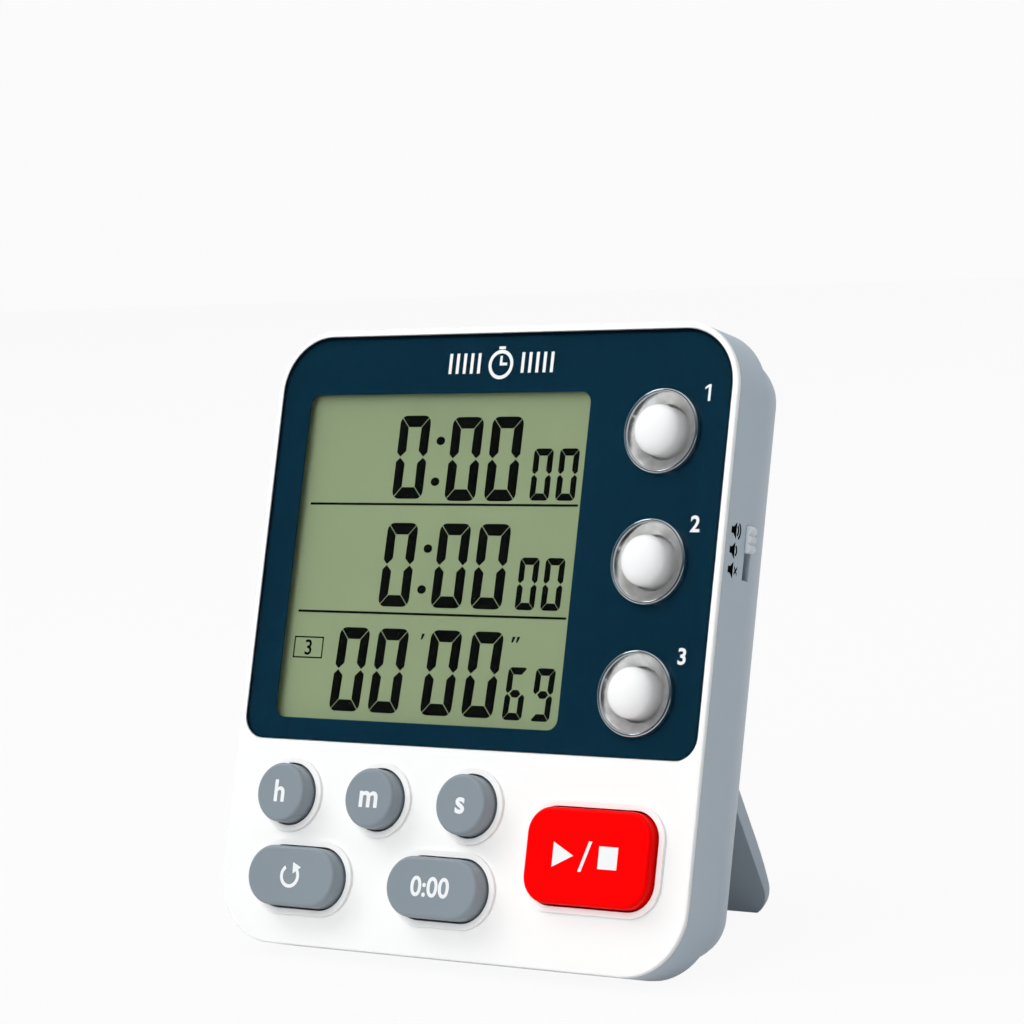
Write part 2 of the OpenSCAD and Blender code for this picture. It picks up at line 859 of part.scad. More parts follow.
module slide_switch_body() {
    color("dimgray")
        place()
            difference() {
                block([switch_face_x - 3.8, board_back, switch_z - 4.4],
                      [switch_face_x, board_back + 3.5, switch_z + 4.4]);
                block([switch_face_x - 1, switch_y - 0.7, switch_z - switch_step - 0.9],
                      [switch_face_x + past, switch_y + 0.7, switch_z + switch_step + 0.9]);
            }
}

// Ridged knob, the plate behind the slot and the lever into the switch, drawn in the upper position
module volume_knob() {
    z = switch_z + switch_step;
    half = knob_len / 2;
    out = case_w / 2 + knob_proud;
    tooth = knob_len / ridge_count;
    low = out - ridge_h;
    color("white")
        place() {
            block([inner_x - 0.2, switch_y - slot_w / 2 + 0.1, z - half],
                  [low + slice, switch_y + slot_w / 2 - 0.1, z + half]);
            for (i = [0:ridge_count - 1])
                translate([low, switch_y + slot_w / 2 - 0.1, z - half + i * tooth])
                    rotate([90, 0, 0])
                        linear_extrude(slot_w - 0.2)
                            polygon([[0, 0], [ridge_h, 0.3 * tooth], [ridge_h, 0.7 * tooth], [0, tooth]]);
            block([inner_x - 0.8, switch_y - slot_w / 2 + 0.1, z - half - switch_step],
                  [inner_x - 0.1, switch_y + slot_w / 2 + 0.6, z + half + 0.4]);
            block([switch_face_x - 0.9, switch_y - 0.6, z - 0.8], [inner_x - 0.7, switch_y + 0.6, z + 0.8]);
        }
}

// Silicone sheets with a dome under each key, at the height of a pressed key

module pad_domes(points) {
    top = board_y - face_t - flange_t - travel - touch;
    for (p = points)
        turned(p[0], p[1])
            polygon([[0, -board_y], [pad_dome_r + 1, -board_y], [pad_dome_r + 0.8, -board_y + pad_t],
                     [pad_dome_r, -board_y + top], [0, -board_y + top]]);
}

module keypad_lower() {
    low = key_low_z - 0.8;
    high = key_z + key_r + 0.6;
    left = key_x[0] - key_r - 0.6;
    right = red_x + red_w / 2 + 0.6;
    color("gainsboro")
        place() {
            difference() {
                slab(board_y - pad_t, board_y)
                    translate([(left + right) / 2, (low + high) / 2])
                        rounded(right - left, high - low, 4, 5);
                for (p = case_bosses)
                    disc(p[0], p[1], boss_r + 0.3, 0, case_d);
            }
            pad_domes(concat(
                [for (x = key_x) [x, key_z]],
                [for (x = oblong_x, side = [-1, 1]) [x + side * 4, oblong_z]],
                [for (side = [-1, 1]) [red_x + side * 6, red_z]]
            ));
        }
}

module keypad_side() {
    color("gainsboro")
        place() {
            slab(board_y - pad_t, board_y)
                translate([ring_x, ring_z[1]])
                    rounded(9, 2 * ring_pitch + 9, 4, 4);
            pad_domes([for (z = ring_z) [ring_x, z]]);
        }
}

// Sounder

module buzzer() {
    color("goldenrod")
        place() {
            disc(0, buzzer_z, buzzer_r, inner_recess_y - 0.5, inner_recess_y);
            disc(0, buzzer_z, buzzer_r - 3, inner_recess_y - 0.8, inner_recess_y - 0.5 + slice);
        }
}

module buzzer_leads() {
    color("firebrick")
        place()
            for (side = [-1, 1])
                disc(side * 4, buzzer_z + 2, 0.45, board_back, inner_recess_y - 0.8);
}

// Batteries

// A cell along X, with its contact button on the side that is given
module cell(z, side) {
    body = cell_len - 1;
    middle = cell_left + cell_len / 2;
    translate([side > 0 ? middle : -middle, cell_y, z])
        rotate([0, side * 90, 0])
            translate([0, 0, -cell_len / 2]) {
                cylinder(h = body, r = cell_r);
                cylinder(h = cell_len, r = 1.9);
            }
}

module battery_upper() {
    color("olivedrab")
        place()
            cell(contact_z[1], 1);
}

module battery_lower() {
    color("olivedrab")
        place()
            cell(contact_z[0], -1);
}

module battery_contacts() {
    color("silver")
        place()
            for (z = contact_z) {
                block([-box_len / 2, cell_y - contact_half, z - contact_half],
                      [-box_len / 2 + contact_t, cell_y + contact_half, z + contact_half]);
                block([-box_len / 2, board_back, z - 1.5], [-box_len / 2 + contact_t, cell_y - 3, z + 1.5]);
            }
}

module battery_bridge() {
    color("silver")
        place()
            block([box_len / 2 - contact_t, cell_y - contact_half, contact_z[0] - contact_half],
                  [box_len / 2, cell_y + contact_half, contact_z[1] + contact_half]);
}

// Points along a tapering coil about X, from its wide end
function coil_point(i) =
    let (t = i / coil_steps, r = coil_r + (coil_tip_r - coil_r) * t, a = 360 * spring_turns * t)
    [spring_wire + t * (spring_len - 2 * spring_wire - touch), r * cos(a), r * sin(a)];

// Least gap between one curl and the next, measured on the points
echo(spring_gap = min([for (i = [0:coil_steps - coil_rings])
    norm(coil_point(i + coil_rings) - coil_point(i))]) - 2 * spring_wire);

// A six-sided tube along the coil
module coil() {
    sides = 6;
    points = [for (i = [0:coil_steps])
        let (p = coil_point(i), a = 360 * spring_turns * i / coil_steps)
            for (s = [0:sides - 1])
                let (turn = 360 * s / sides)
                    p + spring_wire * [sin(turn), cos(turn) * cos(a), cos(turn) * sin(a)]];
    walls = [for (i = [0:coil_steps - 1], s = [0:sides - 1])
        let (a = i * sides + s, b = i * sides + (s + 1) % sides)
            each [[a, b, b + sides], [a, b + sides, a + sides]]];
    first = [for (s = [1:sides - 2]) [0, s + 1, s]];
    last = [for (s = [1:sides - 2]) [coil_steps * sides, coil_steps * sides + s, coil_steps * sides + s + 1]];
    polyhedron(points, concat(walls, first, last));
}

module battery_springs() {
    color("silver")
        place() {
            translate([-box_len / 2 + contact_t, cell_y, contact_z[1]])
                coil();
            translate([box_len / 2 - contact_t, cell_y, contact_z[0]])
                rotate([0, 0, 180])
                    coil();
        }
}

module battery_door() {
    color("lightsteelblue")
        place()
            difference() {
                slab(door_y + touch, case_d)
                    translate([0, cells_z])
                        rounded(door_len, door_h, 0.6, 0.6);
                for (i = [0:3])
                    block([-5 + i, case_d - 0.4, cells_z - door_h / 2 + 2 + 1.6 * i],
                          [5 - i, case_d + past, cells_z - door_h / 2 + 2.8 + 1.6 * i]);
            }
}

// Stand, swung open until its foot meets the ground

// Side profile of the stand, as [out of the case, up]: flat inside, thinning outside towards the foot
module stand_profile() {
    low = -stand_len - foot_past - past;
    polygon(concat(
        [[-stand_t / 2, low], [-stand_t / 2, heel], [stand_t / 2, heel]],
        [for (i = [0:6])
            [stand_t / 2 - (stand_t - foot_t) * pow(i / 6, 2), -stand_len + foot_taper * (1 - i / 6)]],
        [[foot_t - stand_t / 2, low]]
    ));
}

module stand_plate() {
    intersection() {
        slab(-stand_t / 2, stand_t / 2)
            translate([0, (heel - stand_len - foot_past) / 2])
                rounded(stand_w, stand_len + foot_past + heel, 0.3, stand_corner);
        rotate([90, 0, 90])
            translate([0, 0, -stand_w / 2])
                linear_extrude(stand_w)
                    stand_profile();
    }
}

module stand() {
    color("lightsteelblue")
        difference() {
            place()
                translate([0, hinge_y, hinge_z])
                    rotate([open_angle, 0, 0]) {
                        stand_plate();
                        for (side = [-1, 1])
                            translate([side * (stand_w / 2 - slice), 0, 0])
                                rotate([0, side * 90, 0])
                                    cylinder(h = trunnion_len, r = trunnion_r);
                    }
            ground();
        }
}

module magnets() {
    color("gray")
        place()
            for (side = [-1, 1])
                disc(side * magnet_x, magnet_z, magnet_r, case_d - magnet_t, case_d);
}

// Fasteners

// A screw along Y, with its head at the back and a cross recess
module screw(x, z, shank, head, tip, seat) {
    turned(x, z)
        polygon([[0, -seat - 1], [head - 0.4, -seat - 1], [head, -seat - 0.6], [head, -seat],
                 [shank, -seat], [shank, -tip - 0.6], [shank - 0.4, -tip], [0, -tip]]);
}

module cross_recess(x, z, seat) {
    for (size = [[1.8, 0.4], [0.4, 1.8]])
        block([x - size[0] / 2, seat + 0.6, z - size[1] / 2],
              [x + size[0] / 2, seat + past, z + size[1] / 2]);
}

module case_screws() {
    color("silver")
        place()
            for (p = case_bosses)
                difference() {
                    screw(p[0], p[1], screw_r, screw_head_r, tip_y, seat_y);
                    cross_recess(p[0], p[1], seat_y);
                }
}

module board_screws() {
    color("silver")
        place()
            for (p = board_bosses)
                difference() {
                    screw(p[0], p[1], board_screw_r, board_boss_r, face_t + 0.5, board_back);
                    cross_recess(p[0], p[1], board_back);
                }
}

front_case();
rear_case();
display_window();
panel_print();
bezel_ring(0);  // bezel_ring_1
bezel_ring(1);  // bezel_ring_2
bezel_ring(2);  // bezel_ring_3
round_button(0);  // round_button_1
round_button(1);  // round_button_2
round_button(2);  // round_button_3
round_key(0);  // hour_key
round_key(1);  // minute_key
round_key(2);  // second_key
oblong_key(oblong_x[0]);  // memory_key
oblong_key(oblong_x[1]);  // clear_key
start_stop_key();
lcd_polariser();
lcd_glass();
lcd_reflector();
lcd_frame();
zebra_connector();
circuit_board();
chip_blob();
crystal();
capacitor();
resistors();
buzzer_coil();
slide_switch_body();
volume_knob();
keypad_lower();
keypad_side();
buzzer();
buzzer_leads();
battery_upper();
battery_lower();
battery_contacts();
battery_bridge();
battery_springs();
battery_door();
stand();
magnets();
case_screws();
board_screws();
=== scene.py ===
# %% [markdown]
# # Dressing a digital kitchen timer
# The real object is a flat plastic timer that leans back on a fold-out stand. Its solids come packed,
# in metres, with every moving piece on its own body. This lesson gives each surface the finish that the
# real one has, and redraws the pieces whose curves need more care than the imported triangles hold.

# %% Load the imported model
import json
import math

import bmesh
import bpy
from mathutils import Matrix, Vector


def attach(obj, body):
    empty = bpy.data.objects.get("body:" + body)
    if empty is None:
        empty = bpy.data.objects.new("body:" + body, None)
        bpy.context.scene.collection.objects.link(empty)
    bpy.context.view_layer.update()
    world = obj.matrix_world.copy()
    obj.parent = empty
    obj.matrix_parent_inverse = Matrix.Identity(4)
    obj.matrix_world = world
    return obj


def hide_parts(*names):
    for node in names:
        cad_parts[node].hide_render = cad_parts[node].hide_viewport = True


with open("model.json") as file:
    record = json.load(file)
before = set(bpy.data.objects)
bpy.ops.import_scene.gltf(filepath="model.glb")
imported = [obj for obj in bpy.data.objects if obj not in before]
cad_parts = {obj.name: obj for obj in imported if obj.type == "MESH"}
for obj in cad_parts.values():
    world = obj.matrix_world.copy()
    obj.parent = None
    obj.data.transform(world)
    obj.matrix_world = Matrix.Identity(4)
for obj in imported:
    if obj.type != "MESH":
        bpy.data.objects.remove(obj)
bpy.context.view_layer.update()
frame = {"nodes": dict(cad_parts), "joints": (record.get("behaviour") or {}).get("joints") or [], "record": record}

# %% [markdown]
# ## The case's own frame
# The case leans back, but nobody would draw a leaning case. Each piece is drawn upright in millimetres,
# with X to the right, Y into the case from its face and Z up the face, and one matrix seats it at the end.
# The lean is read from the axis along which the hour key travels, and the place from the stand's hinge,
# so the matrix can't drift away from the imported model.

# %% Case frame
HALF_W, REAR_EDGE_Y = 43, 8.1
HINGE = Vector((0.425, 17.7, 46.3))


def joint(name):
    return next(j for j in frame["joints"] if j["name"] == name)


into_case = joint("hour_key_press")["axis"]
lean = math.atan2(-into_case[2], into_case[1])
LEANING = Matrix.Rotation(-lean, 4, "X")
CASE = (
    Matrix.Translation(Vector(joint("stand_fold")["pos_m"]))
    @ LEANING
    @ Matrix.Scale(0.001, 4)
    @ Matrix.Translation(-HINGE)
)
print("lean in degrees:", round(math.degrees(lean), 2))
low_corner = CASE @ Vector((-HALF_W, REAR_EDGE_Y, 0))
print("rear bottom corner in mm:", [round(1000 * v, 2) for v in low_corner])

# %% [markdown]
# ## The camera
# The photograph was taken from the right and a little above, through a fairly long lens. The camera's
# place and its three directions were solved from the panel's corners, so they are written in the case's
# frame and lean back with it.

# %% Camera
LENS_AT, FOCAL_MM, SENSOR_MM = (308.6, -427.5, -4.95), 122.81, 36


def in_scene(name, data):
    thing = bpy.data.objects.new(name, data)
    bpy.context.scene.collection.objects.link(thing)
    return thing


right = Vector((0.8192, 0.5636, 0.1057)).normalized()
down = Vector((0.0076, 0.1735, -0.9848))
down = (down - right * down.dot(right)).normalized()
ahead = right.cross(down)
looking = Matrix((right, -down, -ahead)).transposed().to_4x4()
lens = bpy.data.cameras.new("photo_view")
lens.lens = FOCAL_MM
lens.sensor_width = SENSOR_MM
lens.clip_start = 0.05
lens.clip_end = 20
camera = in_scene("photo_view", lens)
camera.matrix_world = Matrix.Translation(CASE @ Vector(LENS_AT)) @ LEANING @ looking
bpy.context.scene.camera = camera
print("camera in m:", [round(v, 4) for v in camera.matrix_world.translation])

# %% [markdown]
# ## A plain pale studio
# A product shot like this stands on white, with one large soft lamp from the upper left and little light
# on the right side. Its paints, like all finishes of the timer, are small node trees, so the helpers that
# add a node, link a list of sockets and start a Principled material come first.

# %% Node and material helpers


def add(tree, kind, values=None, **settings):
    node = tree.nodes.new(kind)
    for name, value in settings.items():
        setattr(node, name, value)
    for label, value in (values or {}).items():
        node.inputs[label].default_value = value
    return node


def wire_up(tree, *pairs):
    for output, inlet in pairs:
        tree.links.new(output, inlet)


def new_finish(name, colour, roughness, metallic=0.0):
    made = bpy.data.materials.new(name)
    made.use_nodes = True
    shader = made.node_tree.nodes["Principled BSDF"]
    shader.inputs["Base Color"].default_value = (*colour, 1)
    shader.inputs["Roughness"].default_value = roughness
    shader.inputs["Metallic"].default_value = metallic
    made.diffuse_color = (*colour, 1)
    return made, made.node_tree, shader


def blend(tree, share, first, second):
    mixed = add(tree, "ShaderNodeMixShader")
    wire_up(
        tree,
        (share, mixed.inputs[0]),
        (first.outputs[0], mixed.inputs[1]),
        (second.outputs[0], mixed.inputs[2]),
        (mixed.outputs[0], tree.nodes["Material Output"].inputs["Surface"]),
    )


# %% [markdown]
# The floor and the wall behind are white to the camera and in reflections, through Light Path, and stay
# ordinary paint to everything else, so they keep the shadow without lighting the case. A dark card lies on
# the floor in front, seen by reflections alone: it gives the bezels their dark upper left.

# %% Studio sheets
ROOM, WALL_Y, CARD_UP, STUDIO_GREY = 3, 1.6, 0.001, (0.6, 0.6, 0.6)


def pale_paint(name, glow):
    paint, tree, shader = new_finish(name, STUDIO_GREY, 0.9)
    rays = add(tree, "ShaderNodeLightPath")
    seen = rays.outputs["Is Camera Ray"]
    for ray in ("Is Glossy Ray", "Is Transmission Ray"):
        either = add(tree, "ShaderNodeMath", operation="MAXIMUM")
        wire_up(tree, (seen, either.inputs[0]), (rays.outputs[ray], either.inputs[1]))
        seen = either.outputs[0]
    share = add(tree, "ShaderNodeMath", {1: glow}, operation="MULTIPLY")
    white = add(tree, "ShaderNodeEmission", {"Color": (1, 1, 1, 1), "Strength": 1.0})
    tree.links.new(seen, share.inputs[0])
    blend(tree, share.outputs[0], shader, white)
    return paint


def sheet_of(name, corners, paint):
    mesh = bpy.data.meshes.new(name)
    mesh.from_pydata(corners, [], [tuple(range(len(corners)))])
    mesh.materials.append(paint)
    board = in_scene(name, mesh)
    return board


def lying(x0, y0, x1, y1, up):
    return [(x0, y0, up), (x1, y0, up), (x1, y1, up), (x0, y1, up)]


floor_paint = pale_paint("floor_paint", 0.93)
wall_paint = pale_paint("wall_paint", 0.95)
standing = [(-ROOM, WALL_Y, 0), (ROOM, WALL_Y, 0), (ROOM, WALL_Y, ROOM), (-ROOM, WALL_Y, ROOM)]
sheet_of("studio_floor", lying(-ROOM, -ROOM, ROOM, ROOM, 0), floor_paint)
sheet_of("studio_wall", standing, wall_paint)
card_paint = new_finish("card_paint", (0.02, 0.02, 0.022), 0.5)[0]
low_card = sheet_of("low_card", lying(-0.1, -0.9, 0.7, -0.06, CARD_UP), card_paint)
for ray in ("camera", "diffuse", "transmission", "shadow"):
    setattr(low_card, "visible_" + ray, False)
print("studio sheets:", len(bpy.data.meshes) - len(frame["nodes"]))

# %% [markdown]
# The large lamp and the fill lamp hang beside the panel's mirror direction and are kept out of glossy
# reflections, so that only the two small ones give the metal its sparkle. The last one stands behind.

# %% Lamps
LIT_POINT = Vector((0, 0, 0.045))


def soft_lamp(name, place, power, size):
    bulb = bpy.data.lights.new(name, "AREA")
    bulb.shape = "DISK"
    bulb.size = size
    bulb.energy = power
    lamp = in_scene(name, bulb)
    lamp.location = place
    lamp.rotation_euler = (LIT_POINT - Vector(place)).to_track_quat("-Z", "Y").to_euler()
    return lamp


key_lamp = soft_lamp("key_lamp", (-0.78, -0.55, 1.2), 6.5, 1.15)
fill_lamp = soft_lamp("fill_lamp", (0.03, -1.34, 0.76), 13.5, 1.2)
for lamp in (key_lamp, fill_lamp):
    lamp.visible_glossy = False
soft_lamp("spark_lamp", (-0.95, -0.42, 1.15), 2.0, 0.4)
soft_lamp("rim_lamp", (0.8, 0.75, 0.8), 2.8, 0.8)
print("lamps:", len(bpy.data.lights))

# %% [markdown]
# Larger dark cards hang round the set. A dark patch of the world does the same with no sheet to place: one
# where the glossy panel would mirror the room into the lens, so the navy stays deep, one in front at the
# right, which draws the dark right walls of the keys, and one straight in front for the bezels.

# %% Air and dark cards
CARD_TINT = (0.004, 0.01, 0.016, 1)

world = bpy.data.worlds.new("studio_air")
bpy.context.scene.world = world
world.use_nodes = True
sky = world.node_tree
direction = add(sky, "ShaderNodeTexCoord")
split = add(sky, "ShaderNodeSeparateXYZ")
height = add(sky, "ShaderNodeMapRange", {"From Min": -0.1, "From Max": 0.9})
shade = add(sky, "ShaderNodeValToRGB")
shade.color_ramp.elements[0].color = (0.46, 0.53, 0.62, 1)
shade.color_ramp.elements[1].color = (0.82, 0.82, 0.81, 1)
wire_up(
    sky,
    (direction.outputs["Generated"], split.inputs[0]),
    (split.outputs["Z"], height.inputs["Value"]),
    (height.outputs[0], shade.inputs[0]),
)


def dark_card(before, towards, outer, inner, share):
    near = add(sky, "ShaderNodeVectorMath", {1: Vector(towards).normalized()}, operation="DOT_PRODUCT")
    span = {"From Min": outer, "From Max": inner, "To Min": 0.0, "To Max": share}
    cover_share = add(sky, "ShaderNodeMapRange", span, interpolation_type="SMOOTHSTEP")
    after = add(sky, "ShaderNodeMix", data_type="RGBA")
    tints = [s for s in after.inputs if s.type == "RGBA"]
    tints[1].default_value = CARD_TINT
    wire_up(
        sky,
        (direction.outputs["Generated"], near.inputs[0]),
        (near.outputs["Value"], cover_share.inputs["Value"]),
        (cover_share.outputs[0], after.inputs["Factor"]),
        (before, tints[0]),
    )
    return [s for s in after.outputs if s.type == "RGBA"][0]


behind_lens = dark_card(shade.outputs[0], (-0.58, -0.73, 0.36), 0.84, 0.95, 0.98)
at_the_right = dark_card(behind_lens, (0.76, -0.62, 0.1), 0.45, 0.85, 0.9)
in_front = dark_card(at_the_right, (-0.12, -0.99, 0.0), 0.86, 0.97, 0.9)
air = sky.nodes["Background"]
sky.links.new(in_front, air.inputs["Color"])
air.inputs["Strength"].default_value = 0.9
bpy.context.scene.view_settings.view_transform = "Standard"
print("nodes in the air:", len(sky.nodes))

# %% [markdown]
# ## Finishes
# The case is injection moulded. Its plastic isn't one flat colour: the tool leaves a fine spark-eroded
# grain, and the gloss drifts a little from place to place. One helper makes such a plastic from a colour,
# a gloss and the size of its grain in millimetres, with noise in the object's own coordinates.

# %% Moulded plastic
DRIFT_FROM, DRIFT_TO, BROAD_MM = 0.3, 0.7, 30
COAT_ROUGHNESS, LIGHT_REACH_M = 0.08, 0.004


def from_screen(r, g, b):
    return tuple((v / 255 / 12.92) if v <= 10 else ((v / 255 + 0.055) / 1.055) ** 2.4 for v in (r, g, b))


def noise_of(tree, size_mm, detail=2.0):
    where = add(tree, "ShaderNodeTexCoord")
    noise = add(tree, "ShaderNodeTexNoise", {"Scale": 1000.0 / size_mm, "Detail": detail})
    tree.links.new(where.outputs["Object"], noise.inputs["Vector"])
    return noise


def drift_colour(tree, shader, noise, colour, share):
    ramp = add(tree, "ShaderNodeValToRGB")
    low, high = [v * (1 - share) for v in colour], [min(1, v * (1 + share)) for v in colour]
    for i, (position, tint) in enumerate(((DRIFT_FROM, low), (DRIFT_TO, high))):
        ramp.color_ramp.elements[i].position = position
        ramp.color_ramp.elements[i].color = (*tint, 1)
    wire_up(tree, (noise.outputs[0], ramp.inputs[0]), (ramp.outputs[0], shader.inputs["Base Color"]))


def drift_gloss(tree, shader, noise, low, high):
    ends = {"From Min": DRIFT_FROM, "From Max": DRIFT_TO, "To Min": low, "To Max": high}
    gloss = add(tree, "ShaderNodeMapRange", ends)
    wire_up(tree, (noise.outputs[0], gloss.inputs["Value"]), (gloss.outputs[0], shader.inputs["Roughness"]))


def grain(tree, shader, noise, depth_mm, strength=0.5):
    bump = add(tree, "ShaderNodeBump", {"Distance": depth_mm / 1000, "Strength": strength})
    wire_up(tree, (noise.outputs[0], bump.inputs["Height"]), (bump.outputs[0], shader.inputs["Normal"]))


def moulded(name, colour, roughness, grain_mm, depth_mm, drift, coat=0.0, shine=0.5, depth_of_light=0.0):
    made, tree, shader = new_finish(name, colour, roughness)
    broad = noise_of(tree, BROAD_MM)
    drift_colour(tree, shader, broad, colour, drift)
    drift_gloss(tree, shader, broad, roughness * 0.88, roughness * 1.12)
    if depth_mm > 0:
        grain(tree, shader, noise_of(tree, grain_mm, 3), depth_mm)
    for label, value in (
        ("Specular IOR Level", shine),
        ("Coat Weight", coat),
        ("Coat Roughness", COAT_ROUGHNESS),
        ("Subsurface Weight", depth_of_light),
        ("Subsurface Radius", (1, 1, 1)),
        ("Subsurface Scale", LIGHT_REACH_M),
    ):
        shader.inputs[label].default_value = value
    return made


white_shell = moulded("white_shell_plastic", from_screen(249, 249, 248), 0.34, 0.3, 0.002, 0.008, shine=0.4)
grey_shell = moulded("grey_shell_plastic", from_screen(187, 200, 211), 0.48, 0.22, 0.006, 0.02)
button_white = moulded(
    "white_button_plastic", from_screen(251, 251, 251), 0.2, 0.5, 0.0, 0.01, coat=0.2, depth_of_light=0.9
)
knob_plastic = moulded("knob_plastic", from_screen(222, 228, 233), 0.4, 0.2, 0.003, 0.02)
key_grey = moulded("grey_key_plastic", from_screen(134, 145, 153), 0.42, 0.2, 0.004, 0.03)
key_red = moulded("red_key_plastic", (0.96, 0.0004, 0.0008), 0.4, 0.3, 0.003, 0.02, shine=0.03)
navy_ink = moulded("navy_mask_ink", from_screen(9, 39, 54), 0.6, 0.4, 0.001, 0.05, shine=0.0)
# painted shadow: the near-black colour of the thin line in the gap round the panel, not an ink of the case
rim_shadow_paint = moulded("panel_rim_painted_shadow", from_screen(4, 14, 22), 0.7, 0.4, 0.0, 0.05, shine=0.0)
legend_white = moulded("white_legend_ink", from_screen(238, 240, 241), 0.5, 0.2, 0.002, 0.02)
legend_black = moulded("black_legend_ink", from_screen(5, 8, 12), 0.8, 0.2, 0.002, 0.05, shine=0.0)
print("plastics:", len(bpy.data.materials))

# %% [markdown]
# ## Bright metal
# A bezel of this kind is plated plastic: a mirror-bright lip and a cone whose plating is less even, so it
# shows soft patches of the room. One noise of a few millimetres drifts the colour and the gloss, and a finer
# one ripples the surface a little, enough to see in the highlight and no more. The same helper, with other
# colours, makes the steel, nickel, brass and copper of the pieces inside.

# %% Metals
PATCH_MM = 3.0


def turned_metal(name, colour, roughness, spread, line_mm, depth_mm):
    made, tree, shader = new_finish(name, colour, roughness, 1.0)
    patches = noise_of(tree, PATCH_MM, 2)
    drift_colour(tree, shader, patches, colour, spread)
    drift_gloss(tree, shader, patches, roughness * 0.75, roughness * 1.3)
    grain(tree, shader, noise_of(tree, line_mm, 2), depth_mm, 0.6)
    return made


lip_chrome = turned_metal("bezel_lip_chrome", (0.62, 0.67, 0.71), 0.08, 0.04, 0.5, 0.001)
cone_chrome = turned_metal("bezel_cone_plating", (0.88, 0.87, 0.83), 0.16, 0.3, 1.3, 0.03)
bare_steel = turned_metal("screw_steel", (0.52, 0.52, 0.53), 0.28, 0.08, 0.3, 0.004)
nickel_plate = turned_metal("nickel_plate", (0.66, 0.65, 0.62), 0.24, 0.05, 0.4, 0.003)
magnet_steel = turned_metal("magnet_nickel", (0.45, 0.46, 0.47), 0.34, 0.08, 0.3, 0.005)
brass_sheet = turned_metal("sounder_brass", (0.66, 0.50, 0.24), 0.3, 0.08, 0.4, 0.004)
copper_wire = turned_metal("coil_copper", (0.55, 0.27, 0.12), 0.35, 0.1, 0.2, 0.01)
tin_foil = turned_metal("reflector_foil", (0.7, 0.72, 0.7), 0.4, 0.05, 0.5, 0.003)
print("with metals:", len(bpy.data.materials))

# %% [markdown]
# ## Clear plastic and the display
# The cover sheet is thin acrylic. Real light goes through it, so a Transparent shader takes its place for
# rays that come from the lamps, and the display behind stays lit. The display itself is a matt grey-green
# polariser over a reflector, and its figures are nearly black and as matt as the ground.

# %% Clear sheet and display


def clear_plastic(name, tint, roughness, bend):
    made, tree, shader = new_finish(name, tint, roughness)
    shader.inputs["Transmission Weight"].default_value = 1.0
    shader.inputs["IOR"].default_value = bend
    rays = add(tree, "ShaderNodeLightPath")
    through = add(tree, "ShaderNodeBsdfTransparent", {"Color": (*tint, 1)})
    blend(tree, rays.outputs["Is Shadow Ray"], shader, through)
    return made


cover_acrylic = clear_plastic("cover_acrylic", (0.97, 0.98, 0.98), 0.03, 1.3)
plate_glass = clear_plastic("display_glass", (0.93, 0.96, 0.94), 0.02, 1.45)
display_green = moulded("display_polariser", from_screen(126, 138, 107), 0.6, 0.6, 0.001, 0.02, shine=0.0)
display_ink = moulded("display_figures", from_screen(9, 11, 8), 0.6, 0.6, 0.0, 0.05, shine=0.0)
foam_dark = moulded("zebra_rubber", (0.05, 0.05, 0.055), 0.7, 0.3, 0.01, 0.1)
silicone = moulded("keypad_silicone", (0.62, 0.62, 0.6), 0.55, 0.4, 0.004, 0.04)
ivory_frame = moulded("frame_ivory", (0.68, 0.66, 0.58), 0.5, 0.3, 0.005, 0.03)
board_mask = moulded("board_solder_mask", (0.015, 0.16, 0.05), 0.35, 1.2, 0.02, 0.25)
black_epoxy = moulded("chip_epoxy", (0.015, 0.015, 0.016), 0.35, 0.6, 0.02, 0.1)
sleeve_blue = moulded("capacitor_sleeve", (0.02, 0.03, 0.12), 0.25, 0.6, 0.002, 0.05)
switch_black = moulded("switch_case_plastic", (0.04, 0.04, 0.045), 0.4, 0.3, 0.004, 0.05)
wire_red = moulded("wire_insulation", (0.35, 0.02, 0.015), 0.4, 0.3, 0.002, 0.05)
cell_green = moulded("cell_jacket", (0.06, 0.14, 0.04), 0.28, 0.6, 0.001, 0.06)
print("materials:", len(bpy.data.materials))

# %% [markdown]
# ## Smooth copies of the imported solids
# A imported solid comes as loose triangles. Where its shape is right, a copy of it is merged, its flat
# triangles are joined, and a narrow bevel goes round its edges, because no moulding has a knife edge and
# that thin line of light is what makes plastic look like plastic. Normals weighted by area keep the broad
# faces flat beside the rounded edges. The copy then stands for the solid.

# %% Dressing helper
WELD_M, FLAT_TO, BEVEL_FROM, SHARP = 2e-6, math.radians(0.6), math.radians(32), math.radians(40)


def body_holding(node):
    return next(b for b, held in frame["record"]["behaviour"]["bodies"].items() if node in held)


def show(name, mesh, finish, body, stands_for=()):
    if finish.name not in mesh.materials:
        mesh.materials.append(finish)
    piece = in_scene(name, mesh)
    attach(piece, body)
    if stands_for:
        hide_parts(*stands_for)
    return piece


def plain_mesh(draft, name):
    bpy.context.view_layer.update()
    found = draft.evaluated_get(bpy.context.evaluated_depsgraph_get())
    mesh = bpy.data.meshes.new_from_object(found)
    mesh.name = name
    bpy.data.objects.remove(draft)
    return mesh


def poured(work, mesh):
    work.to_mesh(mesh)
    work.free()
    return mesh


